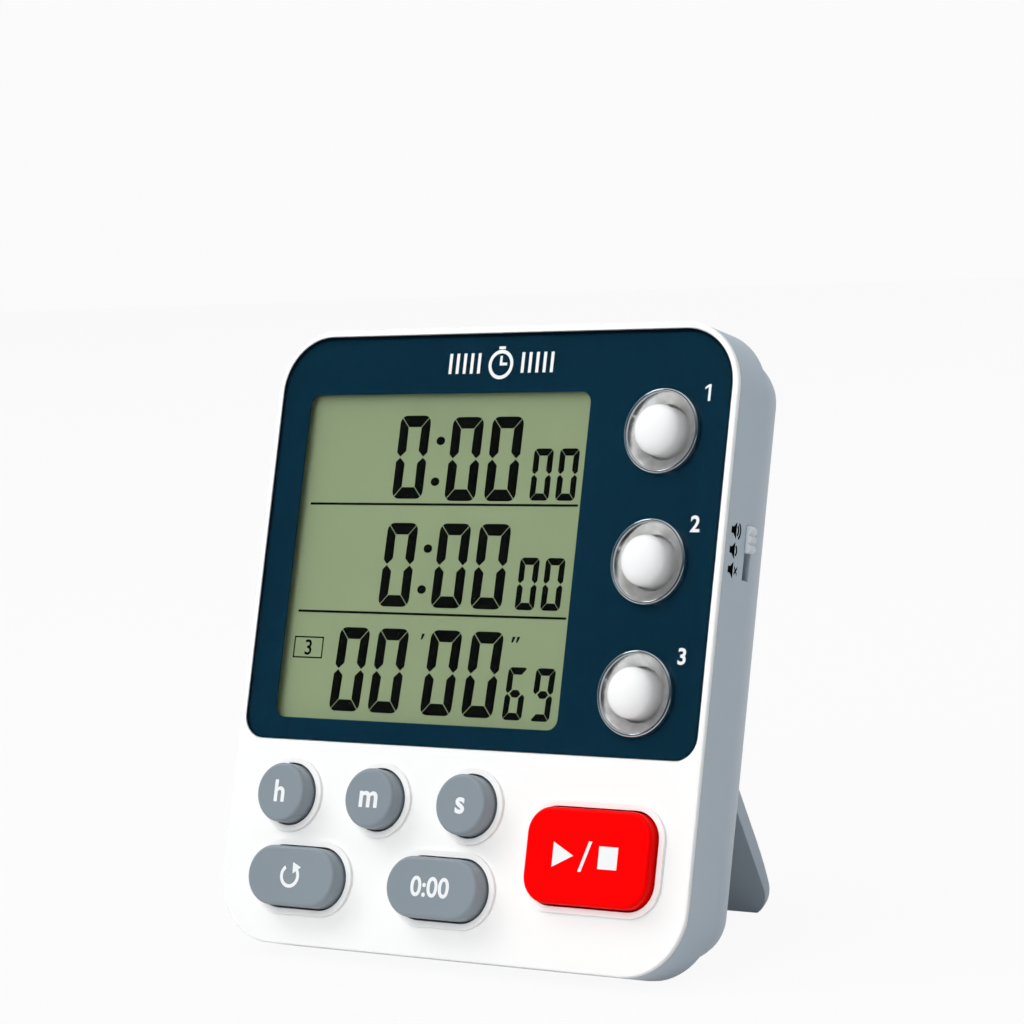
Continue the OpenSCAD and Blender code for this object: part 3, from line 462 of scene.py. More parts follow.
def dressed(node, finish, edge_mm, steps=2):
    mesh = frame["nodes"][node].data.copy()
    mesh.materials.clear()
    work = bmesh.new()
    work.from_mesh(mesh)
    bmesh.ops.remove_doubles(work, verts=work.verts, dist=WELD_M)
    bmesh.ops.dissolve_limit(work, angle_limit=FLAT_TO, verts=work.verts, edges=work.edges)
    for face in work.faces:
        face.smooth = True
        face.material_index = 0
    poured(work, mesh).materials.append(finish)
    mesh.set_sharp_from_angle(angle=SHARP)
    draft = in_scene("draft", mesh)
    bevel = draft.modifiers.new("edge", "BEVEL")
    bevel.width = edge_mm / 1000
    bevel.segments = steps
    bevel.limit_method = "ANGLE"
    bevel.angle_limit = BEVEL_FROM
    calm = draft.modifiers.new("calm", "WEIGHTED_NORMAL")
    calm.keep_sharp = True
    calm.weight = 100
    made = plain_mesh(draft, node + "_shape")
    return show("dressed_" + node, made, finish, body_holding(node), [node])


face_shell = dressed("front_case", white_shell, 0.2, 3)
tub = dressed("rear_case", grey_shell, 0.1)
dressed("battery_door", grey_shell, 0.14)
dressed("stand", grey_shell, 0.35, 3)
dressed("volume_knob", knob_plastic, 0.06)
dressed("magnets", magnet_steel, 0.1)
print("face shell:", len(face_shell.data.polygons), "faces; tub:", len(tub.data.polygons))

# %% [markdown]
# ## Finishes for the solids that stay as they are
# The pieces inside need no new shape, and only take a material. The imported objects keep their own
# meshes, so the finish goes into the material slots.

# %% Inner pieces
kept_as_packed = {
    "panel_print": navy_ink,
    "lcd_polariser": display_green,
    "lcd_glass": plate_glass,
    "lcd_reflector": tin_foil,
    "lcd_frame": ivory_frame,
    "zebra_connector": foam_dark,
    "circuit_board": board_mask,
    "chip_blob": black_epoxy,
    "crystal": nickel_plate,
    "capacitor": sleeve_blue,
    "resistors": black_epoxy,
    "buzzer_coil": copper_wire,
    "slide_switch_body": switch_black,
    "keypad_lower": silicone,
    "keypad_side": silicone,
    "buzzer": brass_sheet,
    "buzzer_leads": wire_red,
    "battery_upper": cell_green,
    "battery_lower": cell_green,
    "battery_contacts": nickel_plate,
    "battery_bridge": nickel_plate,
}
for node, finish in kept_as_packed.items():
    packed = frame["nodes"][node]
    packed.data.materials.clear()
    packed.data.materials.append(finish)
print("kept as packed:", len(kept_as_packed))

# %% [markdown]
# ## The clear cover sheet
# A die-cut sheet is an outline with holes and two flat faces. A flat curve does exactly this: a closed
# spline inside another becomes a hole, the extrusion gives the thickness, and a small bevel breaks the
# edge. On a mirror finish that is far cleaner than packed triangles, each of which would show.

# %% Cover sheet
FACE = Matrix(((1, 0, 0, 0), (0, 0, 1, 0), (0, 1, 0, 0), (0, 0, 0, 1)))
RING_X, RING_Z, RING_HOLE = 30.77, (80.3, 60.735, 41.17), 5.3
SHEET_FRONT, SHEET_BACK, SHEET_EDGE = 0.05, 0.45, 0.04
RIM_SHADOW_FRONT, RIM_SHADOW_BACK = 0.035, 0.07


def arc(u, v, radius, start, end, steps=24):
    turn = [math.radians(start + (end - start) * i / steps) for i in range(steps + 1)]
    return [(u + radius * math.cos(a), v + radius * math.sin(a)) for a in turn]


def rounded(left, low, right_side, high, r_top, r_low):
    corners = (
        (right_side - r_top, high - r_top, r_top),
        (left + r_top, high - r_top, r_top),
        (left + r_low, low + r_low, r_low),
        (right_side - r_low, low + r_low, r_low),
    )
    return [p for i, (u, v, r) in enumerate(corners) for p in arc(u, v, r, 90 * i, 90 * (i + 1), 16)]


def outward(work):
    bmesh.ops.recalc_face_normals(work, faces=work.faces)
    return work


def cut_sheet(name, outlines, front, back, edge_mm, finish):
    curve = bpy.data.curves.new(name, "CURVE")
    curve.dimensions = "2D"
    curve.fill_mode = "BOTH"
    curve.offset = -edge_mm
    curve.bevel_depth = edge_mm
    curve.bevel_resolution = 1
    curve.extrude = (back - front) / 2 - edge_mm
    for outline in outlines:
        spline = curve.splines.new("POLY")
        spline.points.add(len(outline) - 1)
        spline.use_cyclic_u = True
        for point, (u, v) in zip(spline.points, outline):
            point.co = (u, v, 0, 1)
    mesh = plain_mesh(in_scene(name, curve), name + "_shape")
    work = bmesh.new()
    work.from_mesh(mesh)
    bmesh.ops.remove_doubles(work, verts=work.verts, dist=1e-4)
    seat = CASE @ Matrix.Translation((0, (front + back) / 2, 0)) @ FACE
    bmesh.ops.transform(work, matrix=seat, verts=work.verts)
    for face in outward(work).faces:
        face.smooth = False
    poured(work, mesh).materials.clear()
    mesh.materials.append(finish)
    return mesh


sheet_outlines = [rounded(-41.88, 31.72, 41.88, 95.88, 8.78, 3.68)]
sheet_outlines += [arc(RING_X, z, RING_HOLE, 0, 357.5, 143) for z in RING_Z]
cover = cut_sheet("cover_sheet", sheet_outlines, SHEET_FRONT, SHEET_BACK, SHEET_EDGE, cover_acrylic)
show("cover_sheet", cover, cover_acrylic, "case", ["display_window"])
print("cover sheet:", len(cover.polygons), "faces")

# %% [markdown]
# A thin near-black sheet runs round the panel as painted shadow, standing for the shade in the gap at the cover
# sheet's cut edge. It is wider at the top and at the left, where the white shell shades it.

# %% Panel rim, a painted shadow line
# the insets are wider at the top and left, where the painted shadow stands for the shell's shade
shadow_rim_outlines = [rounded(-41.86, 31.74, 41.86, 95.86, 8.76, 3.66), rounded(-41.5, 31.84, 41.7, 95.42, 8.4, 3.6)]
rim_shadow_mesh = cut_sheet("panel_rim", shadow_rim_outlines, RIM_SHADOW_FRONT, RIM_SHADOW_BACK, 0.0, rim_shadow_paint)
show("panel_rim", rim_shadow_mesh, rim_shadow_paint, "case")
print("panel rim:", len(rim_shadow_mesh.polygons), "faces")

# %% [markdown]
# ## Bezels and domed buttons
# Both are turned shapes, so a profile spun round the button's axis is the natural way. The profile of the
# bezel runs up the outside, over a narrow rounded lip and down the cone to the button. The button's dome
# is flatter in the middle than half an ellipse, and its flange keeps it behind the face.

# %% Turned pieces


def spun(profile, x, z, steps=144, closed=False):
    work = bmesh.new()
    rings = []
    for radius, up in profile:
        if radius < 1e-6:
            rings.append([work.verts.new((x, -up, z))])
        else:
            turn = [2 * math.pi * i / steps for i in range(steps)]
            rings.append([work.verts.new((x + radius * math.cos(a), -up, z + radius * math.sin(a))) for a in turn])
    pairs = list(zip(rings, rings[1:])) + ([(rings[-1], rings[0])] if closed else [])
    for one, two in pairs:
        for i in range(steps):
            j = (i + 1) % steps
            corners = [one[i % len(one)], one[j % len(one)], two[j % len(two)], two[i % len(two)]]
            face = work.faces.new(list(dict.fromkeys(corners)))
            face.smooth = True
    return outward(work)


def finished(work, name):
    mesh = poured(work, bpy.data.meshes.new(name))
    mesh.transform(CASE)
    mesh.set_sharp_from_angle(angle=SHARP)
    return mesh


def bent(angle):
    return math.cos(math.radians(angle)), math.sin(math.radians(angle))


LIP_MID, LIP_UP, LIP_ROUND, CONE_FROM = 6.15, 0.62, 0.28, 5.95
DOME_R, DOME_PROUD, DOME_H, DOME_SQUARE = 3.84, 3.7, 2.2, 0.85
lip = [(LIP_MID + LIP_ROUND * out, LIP_UP + LIP_ROUND * up) for out, up in map(bent, range(0, 151, 10))]
bezel_profile = [(4.2, -2.0), (5.25, -2.0), (5.25, -0.05), (6.43, -0.05)] + lip
bezel_profile += [(5.86, 0.56), (5.5, 0.3), (5.0, -0.08), (4.7, -0.3), (4.5, -0.42), (4.3, -0.5), (4.2, -0.62)]
bowed = [(out**DOME_SQUARE, up**DOME_SQUARE) for out, up in map(bent, range(0, 90, 5))]
dome = [(DOME_R * across, DOME_PROUD - DOME_H * (1 - up)) for across, up in bowed]
button_profile = [(0, -2.8), (6.25, -2.8), (6.25, -2.05), (DOME_R, -2.05), (DOME_R, -1.0), (DOME_R, 1.0)]
button_profile += dome + [(0, DOME_PROUD)]
for i, ring_z in enumerate(RING_Z):
    mesh = finished(spun(bezel_profile, RING_X, ring_z, closed=True), f"bezel_{i + 1}_shape")
    mesh.materials.append(lip_chrome)
    mesh.materials.append(cone_chrome)
    for face in mesh.polygons:
        middle = CASE.inverted() @ face.center
        out = math.hypot(middle.x - RING_X, middle.z - ring_z)
        face.material_index = 1 if out < CONE_FROM and middle.y > -0.6 else 0
    show(f"bezel_{i + 1}", mesh, lip_chrome, "case", [f"bezel_ring_{i + 1}"])
    mesh = finished(spun(button_profile, RING_X, ring_z), f"button_{i + 1}_shape")
    show(f"button_{i + 1}", mesh, button_white, f"round_button_{i + 1}", [f"round_button_{i + 1}"])
print("lip points:", len(lip), "dome points:", len(dome))

# %% [markdown]
# ## Keys
# A moulded key is one outline carried through a few depths: the flange that holds it in, the straight wall,
# a quarter round and the flat top. Every outline has the same number of points, so neighbours join with
# plain quads, and one more outline just inside the rounding keeps the top flat up to its edge.

# %% Key caps
KEY_ROUND, KEY_TALL, KEY_PROUD, RED_PROUD = 0.6, 9.2, 3.4, 2.4
FLANGE_OUT, FLANGE_FRONT, FLANGE_BACK = 1.0, 2.05, 2.8
ROUND_KEY_Z, OBLONG_KEY_Z, OBLONG_WIDE = 23.15, 10.4, 16.85


def key_cap(node, x, z, wide, tall, corner_r, proud, finish):
    turn = [KEY_ROUND * bent(a)[1] for a in range(0, 91, 10)]
    levels = [(-FLANGE_OUT, FLANGE_BACK), (-FLANGE_OUT, FLANGE_FRONT)]
    levels += [(0.0, FLANGE_FRONT), (0.0, KEY_ROUND - proud + 0.1)]
    levels += [(KEY_ROUND - math.sqrt(KEY_ROUND**2 - t**2), KEY_ROUND - proud - t) for t in turn]
    levels.append((KEY_ROUND + 0.12, -proud))
    work = bmesh.new()
    rings = []
    for inset, y in levels:
        half_w, half_t, r = wide / 2 - inset, tall / 2 - inset, max(corner_r - inset, 0.2)
        outline = rounded(x - half_w, z - half_t, x + half_w, z + half_t, r, r)
        rings.append([work.verts.new((u, y, v)) for u, v in outline])
    count = len(rings[0])
    for one, two in zip(rings, rings[1:]):
        for i in range(count):
            work.faces.new([one[i], one[(i + 1) % count], two[(i + 1) % count], two[i]])
    work.faces.new(rings[0])
    work.faces.new(rings[-1])
    bmesh.ops.remove_doubles(work, verts=work.verts, dist=1e-4)
    for face in outward(work).faces:
        face.smooth = True
    return show("dressed_" + node, finished(work, node + "_shape"), finish, node, [node])


for node, x in (("hour_key", -30.7), ("minute_key", -13.525), ("second_key", 3.65)):
    key_cap(node, x, ROUND_KEY_Z, KEY_TALL, KEY_TALL, KEY_TALL / 2, KEY_PROUD, key_grey)
for node, x in (("memory_key", -26.85), ("clear_key", -0.05)):
    key_cap(node, x, OBLONG_KEY_Z, OBLONG_WIDE, KEY_TALL, KEY_TALL / 2, KEY_PROUD, key_grey)
red_key = key_cap("start_stop_key", 26.4, 16.75, 21.7, 14.2, 4.0, RED_PROUD, key_red)
print("red key:", len(red_key.data.polygons), "faces")

# %% [markdown]
# ## Printed figures and signs
# Ink is thin, but a sign that is only a colour would need a picture. Each sign is a plate a few hundredths
# of a millimetre thick, drawn as flat outlines on the face or on the side, and given its thickness here.
# Letters and numbers come from Blender's own font, made a mesh before they are placed.

# %% Thin plates
SIDE = Matrix(((0, 0, -1, HALF_W), (1, 0, 0, 0), (0, 1, 0, 0), (0, 0, 0, 1)))
SIGN_PROUD, SIGN_SUNK = 0.015, 0.02


def plates(outlines, top, bottom):
    work = bmesh.new()
    for outline in outlines:
        upper = [work.verts.new((u, v, top)) for u, v in outline]
        lower = [work.verts.new((u, v, bottom)) for u, v in outline]
        work.faces.new(upper)
        work.faces.new(list(reversed(lower)))
        count = len(outline)
        for i in range(count):
            work.faces.new([upper[i], lower[i], lower[(i + 1) % count], upper[(i + 1) % count]])
    return outward(work)


def thin(level):
    return level - SIGN_PROUD, level + SIGN_SUNK


def sign(name, outlines, ink, body, slot, top, bottom, seat=FACE):
    work = plates(outlines, top, bottom)
    bmesh.ops.transform(work, matrix=seat, verts=work.verts)
    return show(name, finished(outward(work), name + "_shape"), ink, body)


def band(u, v, inner, outer, start, end, steps=24):
    inside, outside = arc(u, v, inner, start, end, steps), arc(u, v, outer, start, end, steps)
    return [[outside[i], outside[i + 1], inside[i + 1], inside[i]] for i in range(steps)]


def bar(u0, v0, u1, v1):
    return [(u0, v0), (u1, v0), (u1, v1), (u0, v1)]


def lettering(name, words, tall_mm, x, z, depth, ink, body, slot, weight):
    curve = bpy.data.curves.new(name, "FONT")
    curve.body = words
    curve.size = 1.0
    curve.align_x = "CENTER"
    curve.align_y = "CENTER"
    curve.offset = weight
    curve.extrude = 0.006
    curve.resolution_u = 6
    mesh = plain_mesh(in_scene(name, curve), name + "_shape")
    us = [v.co.x for v in mesh.vertices]
    vs = [v.co.y for v in mesh.vertices]
    scale = tall_mm / (max(vs) - min(vs))
    middle_u, middle_v = (max(us) + min(us)) / 2, (max(vs) + min(vs)) / 2
    for v in mesh.vertices:
        across, up, out = v.co
        v.co = (x + (across - middle_u) * scale, depth - out * 2, z + (up - middle_v) * scale)
    work = bmesh.new()
    work.from_mesh(mesh)
    bmesh.ops.remove_doubles(work, verts=work.verts, dist=1e-5)
    return show(name, finished(outward(work), name + "_shape"), ink, body)


# %% Numbers and letters
KEY_TOP, RED_TOP, NUMBER_UP = -KEY_PROUD, -RED_PROUD, 5.8
for number, ring_z in zip("23", RING_Z[1:]):
    place = (37.9, ring_z + NUMBER_UP, SHEET_FRONT)
    lettering("number_" + number, number, 2.5, *place, legend_white, "case", "clear_sheet", 0.025)
one_u, one_v = 37.95, RING_Z[0] + NUMBER_UP
stem, flag_left = one_u - 0.02, one_u - 0.62
one = [bar(stem, one_v - 1.25, one_u + 0.4, one_v + 1.25)]
one.append([(flag_left, one_v + 0.5), (stem, one_v + 0.86), (stem, one_v + 1.25), (flag_left, one_v + 0.82)])
sign("number_1", one, legend_white, "case", "clear_sheet", *thin(SHEET_FRONT))
for name, words, tall_mm, x, z, key, weight in (
    ("hour_sign", "h", 3.4, -30.75, 23.35, "hour_key", 0.025),
    ("minute_sign", "m", 2.5, -13.45, 22.95, "minute_key", 0.025),
    ("second_sign", "s", 2.5, 3.7, 22.95, "second_key", 0.025),
    ("zero_sign", "0:00", 3.1, -0.2, 10.5, "clear_key", 0.02),
):
    lettering(name, words, tall_mm, x, z, KEY_TOP, legend_white, key, "grey_key", weight)

# %% [markdown]
# ## Signs drawn from simple shapes
# The recall key carries a turning arrow, the red key the start and stop signs, and the side of the case
# three loudspeakers for loud, low and silent. A ring is cut into short quads, because one face can't have
# a hole in it.

# %% Key and side signs
RECALL, RECALL_RADII, RECALL_END = Vector((-26.9, 10.4)), (1.3, 1.85), 35
recall = band(*RECALL, *RECALL_RADII, -235, RECALL_END, 40)
head = [Vector(arc(*RECALL, r, RECALL_END, RECALL_END, 1)[0]) for r in (0.65, 2.5)]
tip = (head[0] + head[1]) / 2 + Vector((-bent(RECALL_END)[1], bent(RECALL_END)[0])) * 1.5
recall.append([tuple(head[0]), tuple(head[1]), tuple(tip)])
sign("recall_sign", recall, legend_white, "memory_key", "grey_key", *thin(KEY_TOP))
start_stop = [
    [(20.6, 15.0), (24.2, 16.85), (20.6, 18.7)],
    [(25.2, 14.6), (25.75, 14.6), (27.3, 19.1), (26.75, 19.1)],
    bar(28.6, 15.2, 31.9, 18.5),
]
sign("start_stop_sign", start_stop, legend_white, "start_stop_key", "red_key", *thin(RED_TOP))


def loudspeaker(v, waves, crossed):
    u = 2.0
    neck, mouth = u + 0.62, u + 1.4
    shapes = [bar(u, v - 0.5, neck, v + 0.5)]
    shapes.append([(neck, v - 0.52), (mouth, v - 1.25), (mouth, v + 1.25), (neck, v + 0.52)])
    for step in range(waves):
        shapes += band(u + 1.0, v, 0.78 + 0.58 * step, 1.13 + 0.58 * step, -48, 48, 8)
    if crossed:
        for way in (-1, 1):
            a, b = (u + 1.72, v - 0.5 * way), (u + 2.55, v + 0.5 * way)
            shapes.append([(a[0], a[1] - 0.2), (b[0], b[1] - 0.2), (b[0], b[1] + 0.2), (a[0], a[1] + 0.2)])
    return shapes


for name, v, waves, crossed in (("loud", 66.15, 2, False), ("low", 63.2, 1, False), ("silent", 60.3, 0, True)):
    sign(name + "_sign", loudspeaker(v, waves, crossed), legend_black, "case", "grey_shell", -0.012, 0.03, SIDE)

# %% [markdown]
# ## A scale of ticks from Geometry Nodes
# Above the display sits a small clock between two rows of ticks. The ticks repeat, so a small node tree
# lays out a line of points and puts one bar on each. Its inputs have names, and each is set through its
# identifier before the object is first evaluated.

# %% Tick tree


def new_tree(name, inputs):
    tree = bpy.data.node_groups.new(name, "GeometryNodeTree")
    for label, kind, value in inputs:
        socket = tree.interface.new_socket(label, in_out="INPUT", socket_type=kind)
        if value is not None:
            socket.default_value = value
    tree.interface.new_socket("Geometry", in_out="OUTPUT", socket_type="NodeSocketGeometry")
    start = tree.nodes.new("NodeGroupInput")
    end = tree.nodes.new("NodeGroupOutput")
    return tree, start, end


def close_tree(tree, start, end, geometry):
    whole = add(tree, "GeometryNodeRealizeInstances")
    inked = add(tree, "GeometryNodeSetMaterial")
    wire_up(
        tree,
        (geometry, whole.inputs[0]),
        (whole.outputs[0], inked.inputs["Geometry"]),
        (start.outputs["Finish"], inked.inputs["Material"]),
        (inked.outputs[0], end.inputs[0]),
    )


def grown(tree, name, values, base=None):
    draft = in_scene(name, base or bpy.data.meshes.new(name))
    nodes = draft.modifiers.new("grow", "NODES")
    nodes.node_group = tree
    sockets = {s.name: s.identifier for s in tree.interface.items_tree if s.in_out == "INPUT"}
    for label, value in values.items():
        nodes[sockets[label]] = value
    return plain_mesh(draft, name + "_shape")


tick_tree, tick_in, tick_out = new_tree(
    "scale_ticks",
    [
        ("Count", "NodeSocketInt", 5),
        ("Spacing", "NodeSocketFloat", 1.35),
        ("Width", "NodeSocketFloat", 0.55),
        ("Height", "NodeSocketFloat", 3.2),
        ("Thickness", "NodeSocketFloat", 0.03),
        ("Finish", "NodeSocketMaterial", None),
    ],
)
line = add(tick_tree, "GeometryNodeMeshLine")
step = add(tick_tree, "ShaderNodeCombineXYZ")
size = add(tick_tree, "ShaderNodeCombineXYZ")
tick = add(tick_tree, "GeometryNodeMeshCube")
spread = add(tick_tree, "GeometryNodeInstanceOnPoints")
wire_up(
    tick_tree,
    (tick_in.outputs["Count"], line.inputs["Count"]),
    (tick_in.outputs["Spacing"], step.inputs["X"]),
    (step.outputs[0], line.inputs["Offset"]),
    (tick_in.outputs["Width"], size.inputs["X"]),
    (tick_in.outputs["Height"], size.inputs["Y"]),
    (tick_in.outputs["Thickness"], size.inputs["Z"]),
    (size.outputs[0], tick.inputs["Size"]),
    (line.outputs[0], spread.inputs["Points"]),
    (tick.outputs["Mesh"], spread.inputs["Instance"]),
)
close_tree(tick_tree, tick_in, tick_out, spread.outputs[0])

# %% Clock and ticks
CLOCK_Z = 91.2
for side, first in (("left", -9.5), ("right", 4.1)):
    mesh = grown(tick_tree, "ticks_" + side, {"Finish": legend_white})
    mesh.transform(CASE @ Matrix.Translation((first, SHEET_FRONT, CLOCK_Z)) @ FACE)
    mesh.flip_normals()
    show("ticks_" + side, mesh, legend_white, "case")
    print("ticks", side, len(mesh.polygons), "faces")
clock = band(0.0, CLOCK_Z - 0.25, 1.75, 2.3, 0, 360, 48)
clock += [bar(-0.6, CLOCK_Z + 2.15, 0.6, CLOCK_Z + 2.6), bar(-0.22, CLOCK_Z - 0.4, 0.22, CLOCK_Z + 1.1)]
clock += [bar(0.26, CLOCK_Z - 0.4, 1.15, CLOCK_Z + 0.04)]
sign("clock_sign", clock, legend_white, "case", "clear_sheet", *thin(SHEET_FRONT))

# %% [markdown]
# ## Seven-segment figures
# A liquid crystal figure is made from few shapes: a cap at its top and foot, a side that comes four times
# over, and a bar in the middle. Each is drawn once, with the thin light seam between neighbours that the
# real electrodes leave. Points say where each copy goes and how it is mirrored, and a node tree puts the
# matching shape on every point.

# %% Segment shapes
FIG_W, FIG_H, UPRIGHT, FLAT, SEAM, CORNER = 5.85, 13.18, 1.72, 1.87, 0.14, 1.3


def centred(outline):
    return [(u - FIG_W / 2, v - FIG_H / 2) for u, v in outline]


inner = Vector((UPRIGHT, FIG_H - FLAT))
bow = Vector((CORNER * (1 - math.sqrt(0.5)), FIG_H - CORNER * (1 - math.sqrt(0.5))))
along = (bow - inner).normalized()
aside = Vector((along.y, -along.x)) * (SEAM / 2)
corner = arc(CORNER, FIG_H - CORNER, CORNER, 90, 135, 4)
left_cap = [tuple(inner + aside), tuple(bow + aside)] + corner[:-1][::-1]
cap = left_cap + [(FIG_W - u, v) for u, v in reversed(left_cap)]
round_side = arc(CORNER, FIG_H - CORNER, CORNER, 135, 180, 4)
side_piece = [tuple(inner - aside), tuple(bow - aside)] + round_side[1:]
side_piece += [(0, FIG_H / 2 + 0.75), (0.42 * UPRIGHT, FIG_H / 2 + 0.085), (UPRIGHT, FIG_H / 2 + 1.0)]
half = FLAT / 2
middle_piece = [
    (0.75 * UPRIGHT, FIG_H / 2),
    (UPRIGHT + 0.45, FIG_H / 2 + half),
    (FIG_W - UPRIGHT - 0.45, FIG_H / 2 + half),
    (FIG_W - 0.75 * UPRIGHT, FIG_H / 2),
    (FIG_W - UPRIGHT - 0.45, FIG_H / 2 - half),
    (UPRIGHT + 0.45, FIG_H / 2 - half),
]
shapes = []
for kind, outline in enumerate((cap, side_piece, middle_piece)):
    mesh = poured(plates([centred(outline)], 0.03, 0.0), bpy.data.meshes.new(f"segment_{kind}"))
    shapes.append(in_scene(f"segment_{kind}", mesh))
print("segment shapes:", [len(shape.data.polygons) for shape in shapes])

# %% Figure tree
figure_tree, fig_in, fig_out = new_tree(
    "display_figures",
    [
        ("Geometry", "NodeSocketGeometry", None),
        ("Kind", "NodeSocketInt", 0),
        ("Segment", "NodeSocketObject", None),
        ("Finish", "NodeSocketMaterial", None),
    ],
)
kind_of = add(figure_tree, "GeometryNodeInputNamedAttribute", {"Name": "kind"}, data_type="INT")
differs = add(figure_tree, "FunctionNodeCompare", data_type="INT", operation="NOT_EQUAL")
compared = [s for s in differs.inputs if s.type == "INT"]
drop = add(figure_tree, "GeometryNodeDeleteGeometry", domain="POINT")
shape_in = add(figure_tree, "GeometryNodeObjectInfo")
mirror_of = add(figure_tree, "GeometryNodeInputNamedAttribute", {"Name": "mirror"}, data_type="FLOAT_VECTOR")
placed = add(figure_tree, "GeometryNodeInstanceOnPoints")
wire_up(
    figure_tree,
    (kind_of.outputs[0], compared[0]),
    (fig_in.outputs["Kind"], compared[1]),
    (fig_in.outputs["Geometry"], drop.inputs["Geometry"]),
    (differs.outputs[0], drop.inputs["Selection"]),
    (fig_in.outputs["Segment"], shape_in.inputs["Object"]),
    (drop.outputs[0], placed.inputs["Points"]),
    (shape_in.outputs["Geometry"], placed.inputs["Instance"]),
    (mirror_of.outputs[0], placed.inputs["Scale"]),
)
close_tree(figure_tree, fig_in, fig_out, placed.outputs[0])
print("figure tree:", len(figure_tree.nodes), "nodes")

# %% [markdown]
# ## Writing the three rows
# Which segments a figure lights is a short table of letters, clockwise from the top. The third row leans
# more than the other two, so each row is sheared by its own amount after the tree has run. Colons,
# primes, the two dividing lines and the boxed number are plain plates.

# %% Rows of figures
LIT = {"0": "abcdef", "6": "acdefg", "9": "abcdfg"}
PLACE = {
    "a": (0, 1, 1),
    "b": (1, -1, 1),
    "c": (1, -1, -1),
    "d": (0, 1, -1),
    "e": (1, 1, -1),
    "f": (1, 1, 1),
    "g": (2, 1, 1),
}
INK_TOP, INK_BACK, SMALL = 2.07, 2.1, 0.61


def figure_points(figures):
    points, kinds, mirrors = [], [], []
    for digit, x, z, scale in figures:
        for letter in LIT[digit]:
            kind, across, up = PLACE[letter]
            points.append((x, z + FIG_H * scale / 2, 0))
            kinds.append(kind)
            mirrors += [across * scale, up * scale, 1]
    mesh = bpy.data.meshes.new("figure_points")
    mesh.from_pydata(points, [], [])
    mesh.attributes.new("kind", "INT", "POINT").data.foreach_set("value", kinds)
    mesh.attributes.new("mirror", "FLOAT_VECTOR", "POINT").data.foreach_set("vector", mirrors)
    return mesh


def figure_row(name, large, small, slant, foot_z):
    figures = [(*figure, 1) for figure in large] + [(*figure, SMALL) for figure in small]
    work = bmesh.new()
    for kind, segment in enumerate(shapes):
        values = {"Kind": kind, "Segment": segment, "Finish": display_ink}
        work.from_mesh(grown(figure_tree, name, values, figure_points(figures)))
    for v in work.verts:
        v.co = (v.co.x + slant * (v.co.y - foot_z), INK_BACK - v.co.z, v.co.y)
    mesh = finished(outward(work), name + "_shape")
    show(name, mesh, display_ink, "case")
    print(name, "figures:", len(figures), "faces:", len(mesh.polygons))


top_large = [("0", -16.6, 70.3), ("0", -6.45, 70.0), ("0", 1.05, 70.0)]
top_small = [("0", 8.35, 70.15), ("0", 13.1, 70.15)]
figure_row("figures_top", top_large, top_small, 0.012, 70.2)
middle_large = [("0", -16.95, 53.3), ("0", -6.85, 53.3), ("0", 0.65, 53.3)]
middle_small = [("0", 7.8, 53.35), ("0", 12.5, 53.35)]
figure_row("figures_middle", middle_large, middle_small, 0.024, 53.3)
bottom_large = [("0", -24.3, 36.7), ("0", -16.75, 36.7), ("0", -6.65, 36.7), ("0", 1.1, 36.7)]
bottom_small = [("6", 7.6, 36.6), ("9", 12.65, 36.6)]
figure_row("figures_bottom", bottom_large, bottom_small, 0.05, 36.7)
for segment in shapes:
    bpy.data.objects.remove(segment)

# %% Marks between the figures
LINE_TALL, BOX_LEFT, BOX_RIGHT, BOX_LOW, BOX_HIGH, BOX_LINE = 0.36, -35.5, -29.7, 44.78, 48.22, 0.22


def colon_dot(u, v):
    return [(u + 0.82 * across, v + 0.67 * up) for across, up in arc(0, 0, 1, 0, 345, 23)]


marks = [colon_dot(-11.23, 79.45), colon_dot(-11.48, 73.0), colon_dot(-11.43, 62.5), colon_dot(-11.78, 56.1)]
marks += [bar(left, low, 15.65, low + LINE_TALL) for left, low in ((-35.45, 69.25), (-35.4, 52.07))]
for u in (-10.9, 6.1, 6.95):
    marks.append([(u, 48.35), (u + 0.3, 48.35), (u + 0.72, 49.25), (u + 0.18, 49.25)])
low_in, high_in = BOX_LOW + BOX_LINE, BOX_HIGH - BOX_LINE
marks += [bar(BOX_LEFT, high_in, BOX_RIGHT, BOX_HIGH), bar(BOX_LEFT, BOX_LOW, BOX_RIGHT, low_in)]
marks += [bar(BOX_LEFT, low_in, BOX_LEFT + BOX_LINE, high_in), bar(BOX_RIGHT - BOX_LINE, low_in, BOX_RIGHT, high_in)]
sign("display_marks", marks, display_ink, "case", "lcd_green", INK_TOP, INK_BACK + 0.02)
lettering("display_number", "3", 2.45, -32.6, 46.5, INK_TOP + 0.01, display_ink, "case", "lcd_green", 0.012)
print("marks on the display:", len(marks))

# %% [markdown]
# ## Screws
# Four screws hold the case and four the board. Each kind is a small turned shape with a cross cut into its
# head, so one of it is made, and a node tree puts a copy on every point where a screw of that kind goes.

# %% Screw tree
screw_tree, screw_in, screw_out = new_tree(
    "screws_on_points",
    [
        ("Geometry", "NodeSocketGeometry", None),
        ("Screw", "NodeSocketObject", None),
        ("Finish", "NodeSocketMaterial", None),
    ],
)
one_screw = add(screw_tree, "GeometryNodeObjectInfo")
on_points = add(screw_tree, "GeometryNodeInstanceOnPoints")
wire_up(
    screw_tree,
    (screw_in.outputs["Screw"], one_screw.inputs["Object"]),
    (screw_in.outputs["Geometry"], on_points.inputs["Points"]),
    (one_screw.outputs["Geometry"], on_points.inputs["Instance"]),
)
close_tree(screw_tree, screw_in, screw_out, on_points.outputs[0])

# %% Screws
PITCH, THREAD_ROOT, CROSS_LONG, CROSS_WIDE = 0.25, 0.82, 1.8, 0.4


